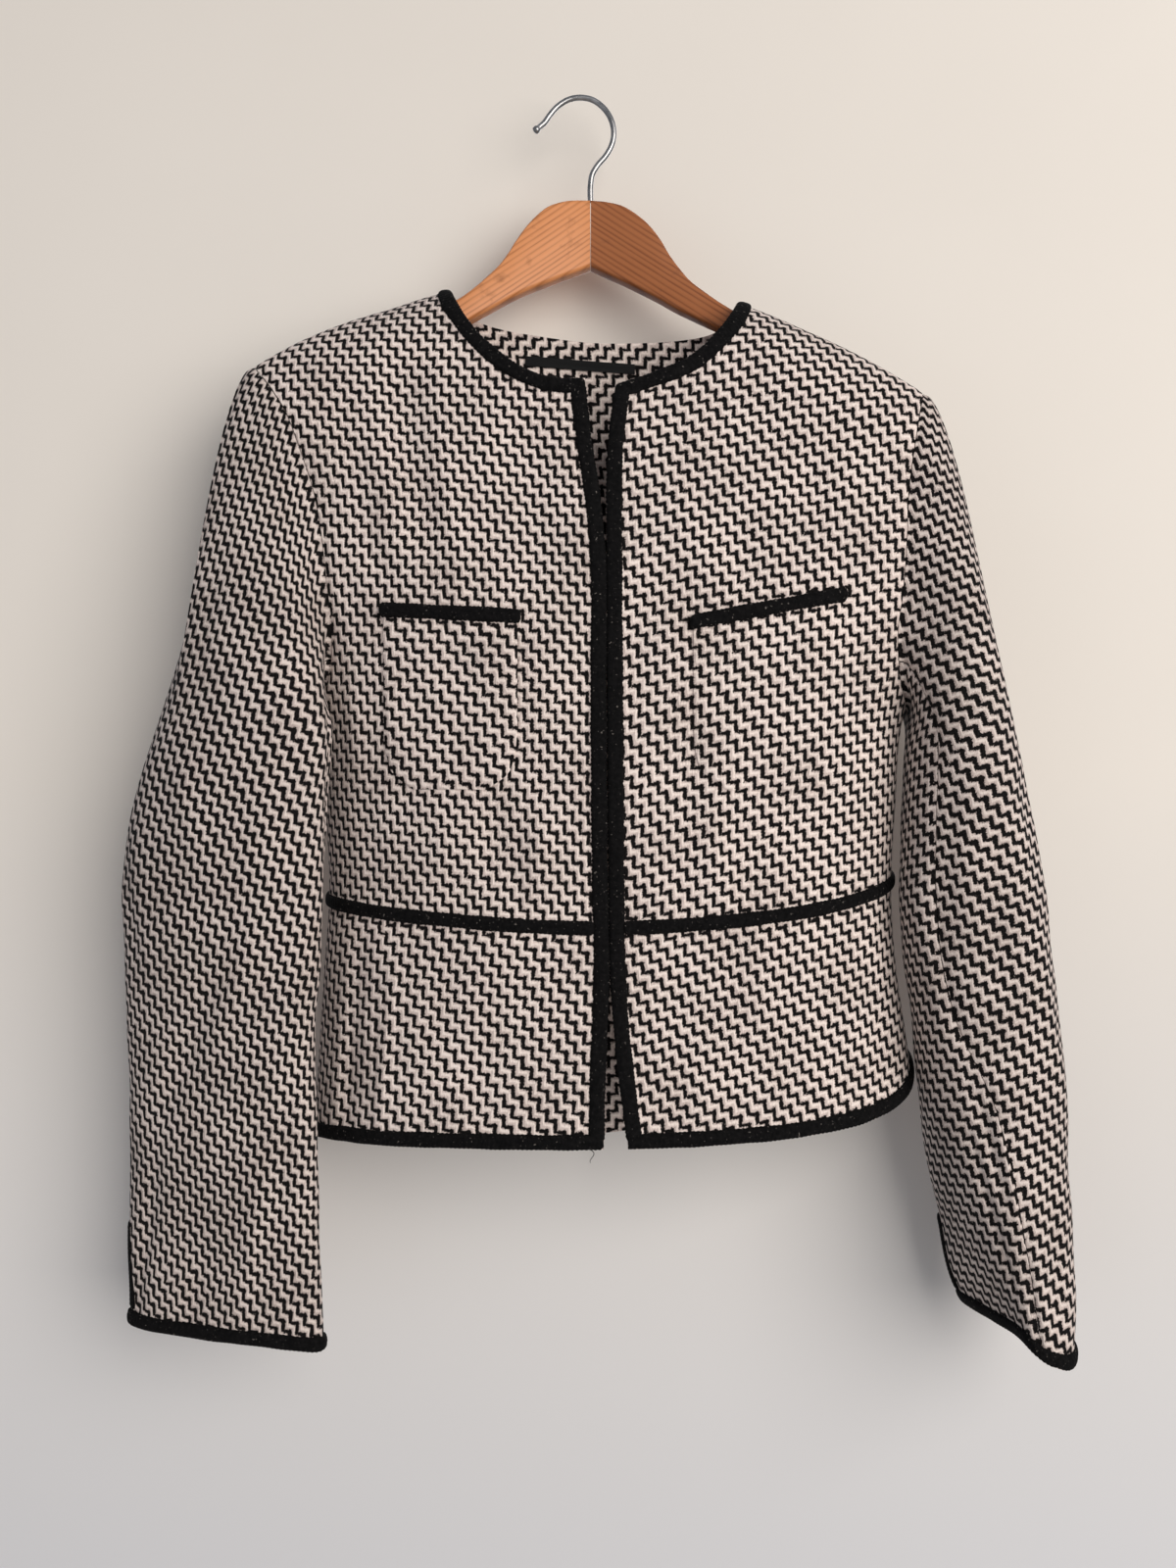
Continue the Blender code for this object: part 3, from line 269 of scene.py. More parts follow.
def plated_steel():
    """Bright plating: grey mirror with smears of dullness."""
    look, shader, node, plug, sum_of = nodes_of("plated_steel")
    where = node("ShaderNodeTexCoord").outputs["Object"]
    smear = node("ShaderNodeTexNoise", {"Vector": where, "Scale": 160.0, "Detail": 4.0}).outputs["Fac"]
    tone = ramp(node, smear, (0.3, (0.26, 0.26, 0.26)), (0.7, (0.46, 0.45, 0.45)))
    plug(tone, "Base Color")
    plug(sum_of("ADD", sum_of("MULTIPLY", smear, 0.25), 0.16), "Roughness")
    shader.inputs["Metallic"].default_value = 1.0
    bump = node("ShaderNodeBump", {"Height": smear, "Strength": 0.15, "Distance": 0.0003})
    plug(bump.outputs[0], "Normal")
    return look


def swept_wire(rows, count, sides, radius):
    """A circle carried along a smooth line in the XZ plane; the line's side is always Y."""
    found = np.array(rows, float) * MM
    run = np.concatenate([[0], np.cumsum(np.linalg.norm(np.diff(found, axis=0), axis=1))])
    at = np.linspace(0, run[-1], count)
    line = np.stack([curve(at, run, found[:, 0]), 0 * at, curve(at, run, found[:, 1])], -1)
    along = unit(np.gradient(line, axis=0))
    side = np.array([0.0, 1.0, 0.0])
    up = np.cross(along, side)
    turn = np.linspace(0, 2 * np.pi, sides, endpoint=False)[None, :, None]
    return line[:, None] + radius * (np.cos(turn) * side + np.sin(turn) * up[:, None])


steel = plated_steel()
grid = swept_wire(HOOK_ROWS, 150, 20, WIRE / 2)
hook = piece("hook_wire_bent", grid, turned_out(grid, loft(grid)), steel)
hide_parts("hook_wire")
axis = np.array([np.sin(TIP_TURN), 0, np.cos(TIP_TURN)])
side = np.array([0.0, 1.0, 0.0])
turn = np.linspace(0, 2 * np.pi, 24, endpoint=False)[None, :, None]
tip_run, tip_radius = np.array(TIP_ROWS).T[:, :, None, None] * MM
grid = TIP_AT + tip_run * axis + tip_radius * (np.cos(turn) * side + np.sin(turn) * np.cross(axis, side))
tip = piece("hook_tip_swaged", grid, turned_out(grid, loft(grid)), steel)
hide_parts("hook_tip")

# ---------------------------------------------------------------------------------------------
# Body of the jacket, upper back and fronts. Wool tweed in two yarns, cream and black, woven as a
# broken check that reads as steps running down to the right. The panels are one closed form round
# the hanger, worked out from level sections, with its folds as soft troughs and ridges on it.
# A point is an angle PHI round the section (0 centre front, 90 deg wearer's left) and a height.
# ---------------------------------------------------------------------------------------------
WALL, SEAM, ARM_SEAM, LIFT = 1.6 * MM, 0.3 * MM, 0.45 * MM, 0.6 * MM
BRAID_WIDTH, POCKET_WALL = 8.5 * MM, 1.4 * MM
QUARTER = np.pi / 2
FRONT_ROUND, BACK_ROUND = 45 * MM, 30 * MM

# Height, centre line, half width at the wearer's right and left, depth of front, back and sides.
BODY_COLUMNS = ("z", "centre", "half_r", "half_l", "front", "back", "side_r", "side_l")
BODY_ROWS = (
    (-640, 18, 176, 182, -71, 19, -2, -4), (-605, 18, 175, 180, -71, 18, -2, -4),
    (-560, 17, 171, 175, -70, 15, -3, -6), (-515, 16, 167, 169, -69, 12, -4, -9),
    (-475, 16, 164, 166, -70, 11, -5, -10), (-420, 15, 165, 169, -72, 14, -6, -12),
    (-372, 15, 168, 173, -71, 16, -7, -12), (-345, 15, 174, 181, -70, 16, -9, -13),
    (-300, 14, 186, 200, -67, 15, -12, -14), (-250, 12, 212, 222, -62, 13, -18, -18),
    (-200, 9, 240, 238, -56, 11, -25, -25), (-160, 8, 258, 246, -49, 9, -28, -28),
    (-100, 8, 262, 250, -40, 8, -30, -30),
)
SQUARE_R, SQUARE_L, SQUARE_BACK = 2.3, 2.6, 2.8
RIDGE_ROWS = (
    (-215, -189), (-187, -168), (-165, -154.3), (-137, -140.8), (-110, -131), (-84, -121.5),
    (-40, -119), (10, -119), (60, -120), (99, -129), (130, -143.5), (163, -161), (197, -183),
    (225, -203),
)
RIDGE_BLEND = 6 * MM
WAIST_AT_FRONT = -487 * MM
OPENING_ROWS = (
    (-640, 13.2, 28.0), (-609, 13.3, 26.7), (-569, 13.9, 21.9), (-537, 15.3, 18.7),
    (-515, 16.0, 17.3), (-462, 15.1, 16.4), (-354, 14.3, 15.6), (-279, 13.9, 15.3),
    (-246, 10.8, 15.3), (-218, 6.6, 16.2), (-186, 3.1, 19.9), (-170, 2.0, 21.0),
)
NECK_R_ROWS = (
    (3.1, -180.6), (-9, -180.9), (-21.7, -178.6), (-34, -172.9), (-45, -165), (-55.6, -154.9),
    (-63, -145), (-69.5, -134), (-74.5, -122.5), (-76.5, -117.6),
)
NECK_L_ROWS = (
    (20, -184.3), (35, -179.4), (49, -174), (60.3, -168.4), (69.6, -160.7), (78.6, -150.7),
    (85.6, -140.7), (90.5, -130.5), (92.6, -125.6),
)
NECK_BACK_ROWS = (
    (-76.5, -117.6), (-72, -123), (-64, -129.5), (-50, -134), (-31, -137.5), (6, -142.4),
    (40, -142.6), (64, -141), (80, -137.5), (89, -131), (92.6, -125.6),
)
WAIST_ROWS = (
    (-90, -475), (-70, -477), (-40, -482), (0, -487), (40, -479), (70, -468), (90, -462),
    (130, -470), (180, -480), (230, -480), (270, -475),
)
HEM_ROWS = (
    (-90, -614), (-60, -611), (-30, -609), (0, -608), (35, -603), (60, -594), (76, -584),
    (90, -573), (105, -572), (135, -594), (180, -620), (225, -622), (270, -614),
)
ARM_R_ROWS = (
    (-366, 90, 0), (-358, 75, 14), (-345, 65.5, 26), (-320, 60, 33), (-297, 57, 36),
    (-253, 49.5, 40), (-208, 46.5, 41), (-185, 47.5, 40.5), (-168, 50, 40),
)
ARM_L_ROWS = (
    (-366, 90, 0), (-360, 79, 12), (-349, 69.5, 24), (-325, 61, 32), (-297, 57, 36),
    (-255, 51.5, 39), (-229, 50, 40), (-200, 50, 40), (-183, 50.5, 39.5),
)
TIP_R, TIP_L = -187 * MM, 197 * MM

# Folds: angle and height where each starts and ends (deg, mm), half width (deg), depth (mm),
# and 1 for a trough or -1 for a ridge. The first ones are in the solid too.
FOLD_COLUMNS = ("phi_0", "z_0", "phi_1", "z_1", "half", "depth")
FOLD_ROWS = (
    (-24, -150, -32, -300, 3.2, -4.0), (-29, -190, -38, -290, 4.0, 1.6),
    (-9, -200, -11, -310, 4.0, -2.0), (33, -190, 30, -300, 4.5, -2.4),
    (-22, -395, -24, -470, 4.0, -2.0), (150, -180, 155, -330, 8.0, -2.5),
    (208, -180, 204, -330, 8.0, -2.5),
    (-20, -165, -27, -330, 2.2, 2.2), (-34, -185, -44, -330, 3.0, -1.6),
    (-12, -410, -14, -480, 2.6, 1.2), (-17, -420, -18, -486, 2.0, -1.2),
    (-33, -425, -35, -480, 3.0, 1.2), (-52, -300, -62, -420, 4.0, 1.8),
    (20, -400, 22, -480, 3.4, 1.4), (42, -430, 44, -476, 3.0, -1.2),
    (12, -200, 14, -330, 3.5, 1.2), (22, -220, 20, -320, 3.0, -1.2),
    (50, -330, 62, -430, 3.6, -1.8), (-46, -500, -49, -625, 2.4, 2.6),
    (-58, -495, -60, -625, 3.5, -3.4), (30, -500, 31, -610, 3.5, 1.3),
    (60, -500, 63, -600, 4.0, -1.6), (-15, -505, -16, -612, 3.0, -0.9),
    (140, -300, 128, -430, 4.0, 2.2), (168, -380, 165, -478, 4.0, -1.8),
    (192, -360, 196, -478, 4.5, 1.8), (222, -280, 238, -430, 4.0, 2.2),
    (180, -500, 178, -615, 5.0, -1.6), (150, -500, 147, -600, 4.0, 1.8),
    (212, -500, 216, -612, 4.0, 1.8),
)


def table(rows, columns):
    """Columns of a table as arrays by name, in rising order of the first column."""
    grid = np.array(rows, float)
    grid = grid[np.argsort(grid[:, 0])]
    return {name: grid[:, i] for i, name in enumerate(columns)}


def column(at, rows, name, columns):
    """One column of a table of mm, at this height in metres, in metres."""
    found = table(rows, columns)
    return curve(np.asarray(at) / MM, found[columns[0]], found[name]) * MM


def pair(at, rows):
    """A table of two columns as a function, in the table's own units."""
    found = table(rows, ("a", "b"))
    return curve(np.asarray(at), found["a"], found["b"])


def ridge_height(x):
    return pair(x / MM, RIDGE_ROWS) * MM


def creases(phi, z, rows):
    """Depth of the folds: each a bell across a straight line, fading as a sine at both ends."""
    total = np.zeros(np.broadcast(phi, z).shape)
    for row in rows:
        fold = dict(zip(FOLD_COLUMNS, row))
        along = (z / MM - fold["z_0"]) / (fold["z_1"] - fold["z_0"])
        middle = fold["phi_0"] + (fold["phi_1"] - fold["phi_0"]) * along
        across = (np.degrees(phi) - middle) / fold["half"]
        fade = np.sin(np.pi * np.clip(along, 0, 1)) ** 0.8
        total += fold["depth"] * MM * fade * np.exp(-(across**2))
    return total


def ripple(phi, z):
    """Small unevenness of hanging cloth: a few long sine waves of unlike length and direction."""
    total = 0.30 * np.sin(7.3 * phi + 31 * z + 1.0) + 0.26 * np.sin(13.1 * phi - 47 * z + 2.2)
    total = total + 0.20 * np.sin(23.0 * phi + 83 * z) + 0.16 * np.sin(31.0 * phi - 19 * z + 0.7)
    return total * MM


def body(phi, z):
    """Outer face of the body form at this angle and height.

    Across, x = centre + half * sin(phi). In depth, a superellipse between the side line and the
    front or back, drawn in to the ridge over a quarter ellipse near the shoulder.
    """
    phi, z = np.broadcast_arrays(np.asarray(phi, float), np.asarray(z, float))
    at = {name: column(z, BODY_ROWS, name, BODY_COLUMNS) for name in BODY_COLUMNS[1:]}
    left, front = np.sin(phi) > 0, np.cos(phi) > 0
    half = np.where(left, at["half_l"], at["half_r"])
    side = np.where(left, at["side_l"], at["side_r"])
    square = np.where(front, np.where(left, SQUARE_L, SQUARE_R), SQUARE_BACK)
    reach = np.where(front, at["front"], at["back"]) - side
    share = (1 - np.clip(np.abs(np.sin(phi)), 0, 1) ** square).clip(0) ** (1 / square)
    x = at["centre"] + half * np.sin(phi)
    y = side + reach * share
    below = (ridge_height(x) - z).clip(1e-6)
    radius = np.where(front, FRONT_ROUND, BACK_ROUND)
    rounding = np.sqrt(1 - (1 - np.clip(below / radius, 0, 1)) ** 2)
    ridge = ridge_depth(x)
    y = ridge + (y - ridge) * rounding
    depth = (creases(phi, z, FOLD_ROWS) + ripple(phi, z)) * rounding
    return np.stack([x, y - np.where(front, 1, -1) * depth * np.abs(np.cos(phi)) ** 0.3, z], -1)


def body_normal(phi, z):
    """Outward direction, from steps to either side; near the ridge the step up is taken down."""
    step_phi, step_z = 0.012, 0.9 * MM
    ring = body(phi + step_phi, z) - body(phi - step_phi, z)
    room = (ridge_height(body(phi, z)[..., 0]) - z).clip(0)
    up = body(phi, z + np.minimum(step_z, room * 0.5)) - body(phi, z - step_z)
    return unit(np.cross(ring, up))


def phi_at(x, z, behind=False):
    """Angle at which the form stands this far across at this height."""
    centre = column(z, BODY_ROWS, "centre", BODY_COLUMNS)
    half_l = column(z, BODY_ROWS, "half_l", BODY_COLUMNS)
    half_r = column(z, BODY_ROWS, "half_r", BODY_COLUMNS)
    angle = np.arcsin(np.clip((x - centre) / np.where(x > centre, half_l, half_r), -1, 1))
    return np.pi - angle if behind else angle


def shares(points):
    """Share of a line's length at each of its points."""
    length = np.concatenate([[0], np.cumsum(np.linalg.norm(np.diff(points, axis=0), axis=1))])
    return length / length[-1]


PHI_SCALE = 90 * MM


def polyline(points):
    """Function of a share of the length of a line of (phi, z)."""
    points = np.asarray(points, float)
    length = shares(points * np.array([PHI_SCALE, 1.0]))

    def at(share):
        phi, z = (np.interp(share, length, points[:, i]) for i in range(2))
        return np.stack([phi, z], -1)

    return at


def joined(first, second, turn):
    """Two lines as one: the first up to this share, then the second."""

    def at(share):
        before = first(np.clip(share / turn, 0, 1))
        after = second(np.clip((share - turn) / (1 - turn), 0, 1))
        return np.where((share < turn)[..., None], before, after)

    return at


def coons(bottom, top, start, end, across, rows):
    """Four-sided patch: the blend of two pairs of edges, less the blend of their corners."""
    a, r = across[:, None, None], rows[None, :, None]
    low, high = bottom(a[:, :, 0]), top(a[:, :, 0])
    first, last = start(r[:, :, 0]), end(r[:, :, 0])
    corners = (1 - a) * (1 - r) * low[:1] + a * (1 - r) * low[-1:]
    corners = corners + (1 - a) * r * high[:1] + a * r * high[-1:]
    return (1 - r) * low + r * high + (1 - a) * first + a * last - corners


def neck_points(rows, behind, fine=90, width=0.0):
    """Neck edge as (phi, z), or the line that lies a braid's width inside it on the cloth."""
    found = np.array(rows, float) * MM
    found[-1, 1] = ridge_height(found[-1, 0])
    if behind:
        found[0, 1] = ridge_height(found[0, 0])
    share = np.linspace(0, 1, len(found))
    even = np.linspace(0, 1, fine)
    fine_share = 0.5 - 0.5 * np.cos(np.pi * even) if behind else 1 - (1 - even) ** 2.2
    x = curve(fine_share, share, found[:, 0])
    z = np.minimum(curve(fine_share, share, found[:, 1]), ridge_height(x) - 1e-6)
    if width:
        below = ridge_height(x) - z
        rates = [np.gradient(x, fine_share), np.gradient(below, fine_share)]
        along = unit(np.stack(rates, -1))
        sense = 1.0 if behind else np.sign(found[-1, 0] - found[0, 0])
        deeper = sense * along[:, 0] * width * np.clip(below / RIDGE_BLEND, 0, 1)
        x = x - sense * along[:, 1] * width
        z = ridge_height(x) - np.maximum(below + deeper, 1e-6)
    return np.stack([phi_at(x, z, behind), z], -1)


def shoulder_points(x_neck, x_tip, behind, fine=120):
    x = np.linspace(x_neck, x_tip, fine)
    z = ridge_height(x) - 2e-6
    return np.stack([phi_at(x, z, behind), z], -1)


def arm_line(side, behind, fine=120):
    """Armhole edge from the underarm up to the shoulder tip, as (phi, z)."""
    found = np.array(ARM_L_ROWS if side > 0 else ARM_R_ROWS, float)
    share, fine_share = np.linspace(0, 1, len(found)), np.linspace(0, 1, fine)
    z = curve(fine_share, share, found[:, 0]) * MM
    if behind:
        phi = QUARTER + np.radians(curve(fine_share, share, found[:, 2]))
    else:
        phi = np.radians(curve(fine_share, share, found[:, 1]))
    tip = TIP_L if side > 0 else TIP_R
    z_tip = ridge_height(np.array(tip)) - 2e-6
    phi_tip = phi_at(np.array(tip), z_tip, behind)
    if side < 0:
        phi = 2 * np.pi - phi if behind else -phi
    ease = np.clip((fine_share - 0.6) / 0.4, 0, 1) ** 2
    phi = phi + ease * (phi_tip - phi[-1])
    z = z + ease * (z_tip - z[-1])
    return np.stack([phi, z], -1)


def waist(phi):
    return pair(np.degrees(phi), WAIST_ROWS) * MM


def edge_phi(z, side):
    """Angle of the centre front edge at this height."""
    found = table(OPENING_ROWS, ("z", "right", "left"))
    x = curve(np.asarray(z) / MM, found["z"], found["left" if side > 0 else "right"]) * MM
    return phi_at(x, z)


SEAM_PHI = SEAM / 2 / (170 * MM)
SIDE_PHI = QUARTER - SEAM_PHI
ARM_START, NECK_SHARE, BACK_NECK = 0.32, 0.42, (0.30, 0.70)


def waist_line(start_phi, end_phi):
    """Lower edge of an upper panel, as a function of the share of its angle."""

    def at(share):
        phi = start_phi + (end_phi - start_phi) * share
        return np.stack([phi, waist(phi) + SEAM / 2], -1)

    return at


def side_line(phi, arm):
    """Outer edge of an upper panel: the side seam, then the armhole."""
    z = np.array([waist(phi) + SEAM / 2, arm[0, 1]])
    flank = polyline(np.stack([np.full(2, phi), z], -1))
    return joined(flank, polyline(arm), ARM_START)


def even_shares(counts, turns):
    """Shares from 0 to 1 with this many steps in each stretch between the turns."""
    ends = [0, *turns, 1]
    parts = [np.linspace(a, b, n + 1)[:-1] for a, b, n in zip(ends[:-1], ends[1:], counts)]
    return np.concatenate([*parts, [1.0]])


ROWS = 1 - (1 - even_shares((34, 26, 40), (ARM_START, 0.62))) ** 1.25
ROWS = np.unique(np.concatenate([ROWS, 1 - np.array([0.0008, 0.0025])]))


def front_grid(side):
    """Upper front from the waist seam to the neck and shoulder, as (phi, z)."""
    rows, tip = (NECK_L_ROWS, TIP_L) if side > 0 else (NECK_R_ROWS, TIP_R)
    neck = neck_points(rows, False)
    shoulder = shoulder_points(rows[-1][0] * MM, tip, False)
    arm = arm_line(side, False)
    arm[:, 0] -= side * SEAM_PHI
    shoulder[-1] = arm[-1]
    z_edge = np.linspace(WAIST_AT_FRONT, neck[0, 1], 40)
    edge = np.stack([edge_phi(z_edge, side), z_edge], -1)
    edge[0, 1] = waist(edge[0, 0]) + SEAM / 2
    edge[-1] = neck[0]
    top = joined(polyline(neck), polyline(shoulder), NECK_SHARE)
    low = waist_line(edge[0, 0], side * SIDE_PHI)
    outside = side_line(side * SIDE_PHI, arm)
    across = even_shares((52, 44), (NECK_SHARE,))
    return coons(low, top, polyline(edge), outside, across, ROWS)


def back_grid():
    """Upper back from side to side, as (phi, z)."""
    neck = neck_points(NECK_BACK_ROWS, True)[::-1]
    left = shoulder_points(TIP_L, NECK_L_ROWS[-1][0] * MM, True)
    right = shoulder_points(NECK_R_ROWS[-1][0] * MM, TIP_R, True)
    arm_left, arm_right = arm_line(1, True), arm_line(-1, True)
    arm_left[:, 0] += SEAM_PHI
    arm_right[:, 0] -= SEAM_PHI
    left[0], right[-1] = arm_left[-1], arm_right[-1]
    start_phi, end_phi = np.pi - SIDE_PHI, np.pi + SIDE_PHI
    inner = joined(polyline(left), polyline(neck), BACK_NECK[0] / BACK_NECK[1])
    top = joined(inner, polyline(right), BACK_NECK[1])
    start, end = side_line(start_phi, arm_left), side_line(end_phi, arm_right)
    across = even_shares((36, 60, 36), BACK_NECK)
    return coons(waist_line(start_phi, end_phi), top, start, end, across, ROWS)


# The cloth's own measure: length round the body from the centre front, and length up it.
map_phi = np.linspace(-QUARTER - 0.3, 3 * QUARTER + 0.3, 420)
map_z = np.linspace(-645, -112, 180) * MM
spread = body(map_phi[:, None], map_z[None, :])
round_step = np.linalg.norm(np.diff(spread, axis=0), axis=-1)
round_length = np.concatenate([np.zeros((1, len(map_z))), np.cumsum(round_step, axis=0)])
round_length -= round_length[np.argmin(np.abs(map_phi))]
rise = np.hypot(np.diff(spread[..., 1], axis=1), np.diff(map_z)[None])
up_length = np.concatenate([np.zeros((len(map_phi), 1)), np.cumsum(rise, axis=1)], axis=1)


def looked_up(grid, phi, z):
    """Value of a grid over (phi, z), straight between its points."""
    i = np.clip((phi - map_phi[0]) / (map_phi[1] - map_phi[0]), 0, len(map_phi) - 1.001)
    j = np.clip((z - map_z[0]) / (map_z[1] - map_z[0]), 0, len(map_z) - 1.001)
    a, b = i.astype(int), j.astype(int)
    s, t = i - a, j - b
    low = grid[a, b] * (1 - s) + grid[a + 1, b] * s
    return low * (1 - t) + (grid[a, b + 1] * (1 - s) + grid[a + 1, b + 1] * s) * t


REPEAT_ACROSS, REPEAT_UP = 4.8 * MM, 5.5 * MM


def in_repeats(u, v, weft, warp, shift=(0.0, 0.0), ease=1.0):
    """Cloth lengths as counts of the weave's columns and rows, with the cut's lean in degrees.

    `ease` is how many columns lie where there would be one, for cloth eased together in sewing.
    """
    across = u * ease + v * np.tan(np.radians(warp))
    up = v + u * np.tan(np.radians(weft))
    return np.stack([across / REPEAT_ACROSS + shift[0], up / REPEAT_UP + shift[1]], -1)


def body_repeats(where, weft, warp, middle=0.0, shift=(0.0, 0.0), ease=1.0):
    """The weave's place on a body panel; `middle` is the angle its straight grain hangs from."""
    phi, z = where[..., 0], where[..., 1]
    zero = looked_up(round_length, np.full_like(phi, middle), z)
    u = looked_up(round_length, phi, z) - zero
    return in_repeats(u, looked_up(up_length, phi, z), weft, warp, shift, ease)


def tweed(name, cream, black, thick=0.0):
    """Two-yarn broken check, one column by one row to a repeat.

    Each black yarn shows as a step: a bar one row tall on every column, then a bar one column
    long to the next column at the row's foot, so the steps run down to the right and repeat every
    two rows. The distance to that step, roughened by fibre noise, gives both colour and height.
    The cream is dimmed next to the black as painted shade between the yarns, and is drawn in a
    shaded and a lit tone, the lit one in short strips beside each step as painted highlights.
    `thick` is how much wider each black bar is on every side, in repeats.
    """
    look, shader, node, plug, sum_of = nodes_of(name)
    uv = node("ShaderNodeUVMap", uv_map="cloth").outputs[0]
    wander = node("ShaderNodeTexNoise", {"Vector": uv, "Scale": 0.55, "Detail": 2.0}).outputs["Color"]
    pulled = node("ShaderNodeVectorMath", {0: wander, 1: (0.5, 0.5, 0.5)}, operation="SUBTRACT").outputs[0]
    pulled = node("ShaderNodeVectorMath", {0: pulled, "Scale": 0.42}, operation="SCALE").outputs[0]
    moved = node("ShaderNodeVectorMath", {0: uv, 1: pulled}, operation="ADD").outputs[0]
    split = node("ShaderNodeSeparateXYZ", {0: moved})
    x, y = split.outputs[0], sum_of("MULTIPLY", split.outputs[1], -1.0)
    fibre = node("ShaderNodeTexNoise", {"Vector": uv, "Scale": 6.0, "Detail": 5.0}).outputs["Fac"]
    fray = sum_of("MULTIPLY", sum_of("SUBTRACT", fibre, 0.5), 0.42)
    step = sum_of("FLOOR", sum_of("ADD", x, 0.5))
    xl = sum_of("SUBTRACT", x, step)
    yl = sum_of("FLOORED_MODULO", sum_of("SUBTRACT", y, step), 2.0)
    coarse = node("ShaderNodeTexNoise", {"Vector": uv, "Scale": 1.6, "Detail": 2.0}).outputs["Fac"]
    fray = sum_of("ADD", fray, sum_of("MULTIPLY", sum_of("SUBTRACT", coarse, 0.5), 0.24))
    near_row = sum_of("MINIMUM", yl, sum_of("SUBTRACT", 2.0, yl))
    upright_x = sum_of("SUBTRACT", sum_of("ABSOLUTE", xl), 0.20 + thick)
    upright = sum_of("MAXIMUM", upright_x, sum_of("SUBTRACT", yl, 1.12))
    foot_y = sum_of("SUBTRACT", sum_of("ABSOLUTE", sum_of("SUBTRACT", yl, 1.0)), 0.14 + thick)
    foot = sum_of("MAXIMUM", foot_y, sum_of("SUBTRACT", 0.16, xl))
    head = sum_of("MAXIMUM", sum_of("SUBTRACT", near_row, 0.15 + thick), sum_of("SUBTRACT", xl, 0.22))
    knot = sum_of("SQRT", sum_of("ADD", sum_of("MULTIPLY", xl, xl), sum_of("MULTIPLY", near_row, near_row)))
    black_at = sum_of("MINIMUM", upright, sum_of("MINIMUM", foot, head))
    black_at = sum_of("MINIMUM", black_at, sum_of("SUBTRACT", knot, 0.25 + thick))
    distance = sum_of("ADD", black_at, fray)
    # Painted highlights: short upright and level strips of the cream beside each step, lit as the tops of
    # the yarns.
    high_x = sum_of("SUBTRACT", sum_of("ABSOLUTE", sum_of("ADD", xl, 0.38)), 0.11)
    high_y = sum_of("MAXIMUM", sum_of("SUBTRACT", 0.38, yl), sum_of("SUBTRACT", yl, 1.5))
    level = sum_of("SUBTRACT", sum_of("ABSOLUTE", sum_of("SUBTRACT", yl, 1.42)), 0.12)
    level = sum_of("MAXIMUM", level, sum_of("SUBTRACT", -0.45, xl))
    painted_highlight_at = sum_of("MINIMUM", sum_of("MAXIMUM", high_x, high_y), level)
    painted_highlight_at = sum_of("ADD", painted_highlight_at, sum_of("MULTIPLY", fray, 1.2))

    def edge(value, low, high, at_low, at_high):
        inputs = {"Value": value, "From Min": low, "From Max": high, "To Min": at_low, "To Max": at_high}
        return node("ShaderNodeMapRange", inputs, interpolation_type="SMOOTHSTEP").outputs[0]

    dark = edge(distance, -0.04, 0.05, 1.0, 0.0)
    # Painted shade: the cream is dimmed to 0.7 next to the black yarns, as between them.
    near = edge(distance, 0.0, 0.12, 0.7, 1.0)
    painted_highlight = edge(painted_highlight_at, -0.10, 0.10, 1.0, 0.0)
    strand = node(
        "ShaderNodeVectorMath", {0: moved, 1: (9.0, 1.3, 1.0)}, operation="MULTIPLY"
    ).outputs[0]
    strands = node("ShaderNodeTexNoise", {"Vector": strand, "Scale": 1.3, "Detail": 3.0}).outputs["Fac"]
    slub = node("ShaderNodeTexNoise", {"Vector": uv, "Scale": 0.13, "Detail": 3.0}).outputs["Fac"]
    tint = sum_of("ADD", sum_of("MULTIPLY", strands, 0.55), sum_of("MULTIPLY", slub, 0.45))
    # The darker ramp is the cream in painted shade, the paler one the same cream lit; the painted highlight
    # mask picks between them.
    wear_and_shade = ramp(
        node, tint,
        (0.34, tuple(c * f for c, f in zip(cream, (0.50, 0.46, 0.45)))),
        (0.50, tuple(c * f for c, f in zip(cream, (0.78, 0.74, 0.74)))),
        (0.64, tuple(c * f for c, f in zip(cream, (0.96, 0.91, 0.90)))),
    )
    highlit_cream = ramp(
        node, tint,
        (0.34, tuple(c * f for c, f in zip(cream, (0.86, 0.84, 0.82)))),
        (0.56, tuple(min(c * 1.10, 0.93) for c in cream)),
    )
    pale = node("ShaderNodeMix", {"Factor": painted_highlight, "A": wear_and_shade, "B": highlit_cream}, data_type="RGBA").outputs[2]
    # Painted shade between the yarns: the cream is mixed towards black next to each step.
    shaded = node("ShaderNodeMix", {"Factor": near, "A": (0, 0, 0, 1), "B": pale}, data_type="RGBA")
    ink = ramp(node, fibre, (0.45, black), (0.80, tuple(c * 4 + 0.008 for c in black)))
    mixed = node(
        "ShaderNodeMix", {"Factor": dark, "A": shaded.outputs[2], "B": ink}, data_type="RGBA"
    )
    plug(mixed.outputs[2], "Base Color")
    shader.inputs["Roughness"].default_value = 0.92
    shader.inputs["Specular IOR Level"].default_value = 0.10
    shader.inputs["Sheen Weight"].default_value = 0.05
    shader.inputs["Sheen Roughness"].default_value = 0.45
    swell = sum_of("ADD", edge(distance, -0.12, 0.3, 0.3, 0.8), sum_of("MULTIPLY", painted_highlight, 0.35))
    height = sum_of("ADD", swell, sum_of("MULTIPLY", strands, 0.35))
    height = sum_of("ADD", height, sum_of("MULTIPLY", fibre, 0.25))
    bump = node("ShaderNodeBump", {"Height": height, "Strength": 0.7, "Distance": 0.0008})
    plug(bump.outputs[0], "Normal")
    return look


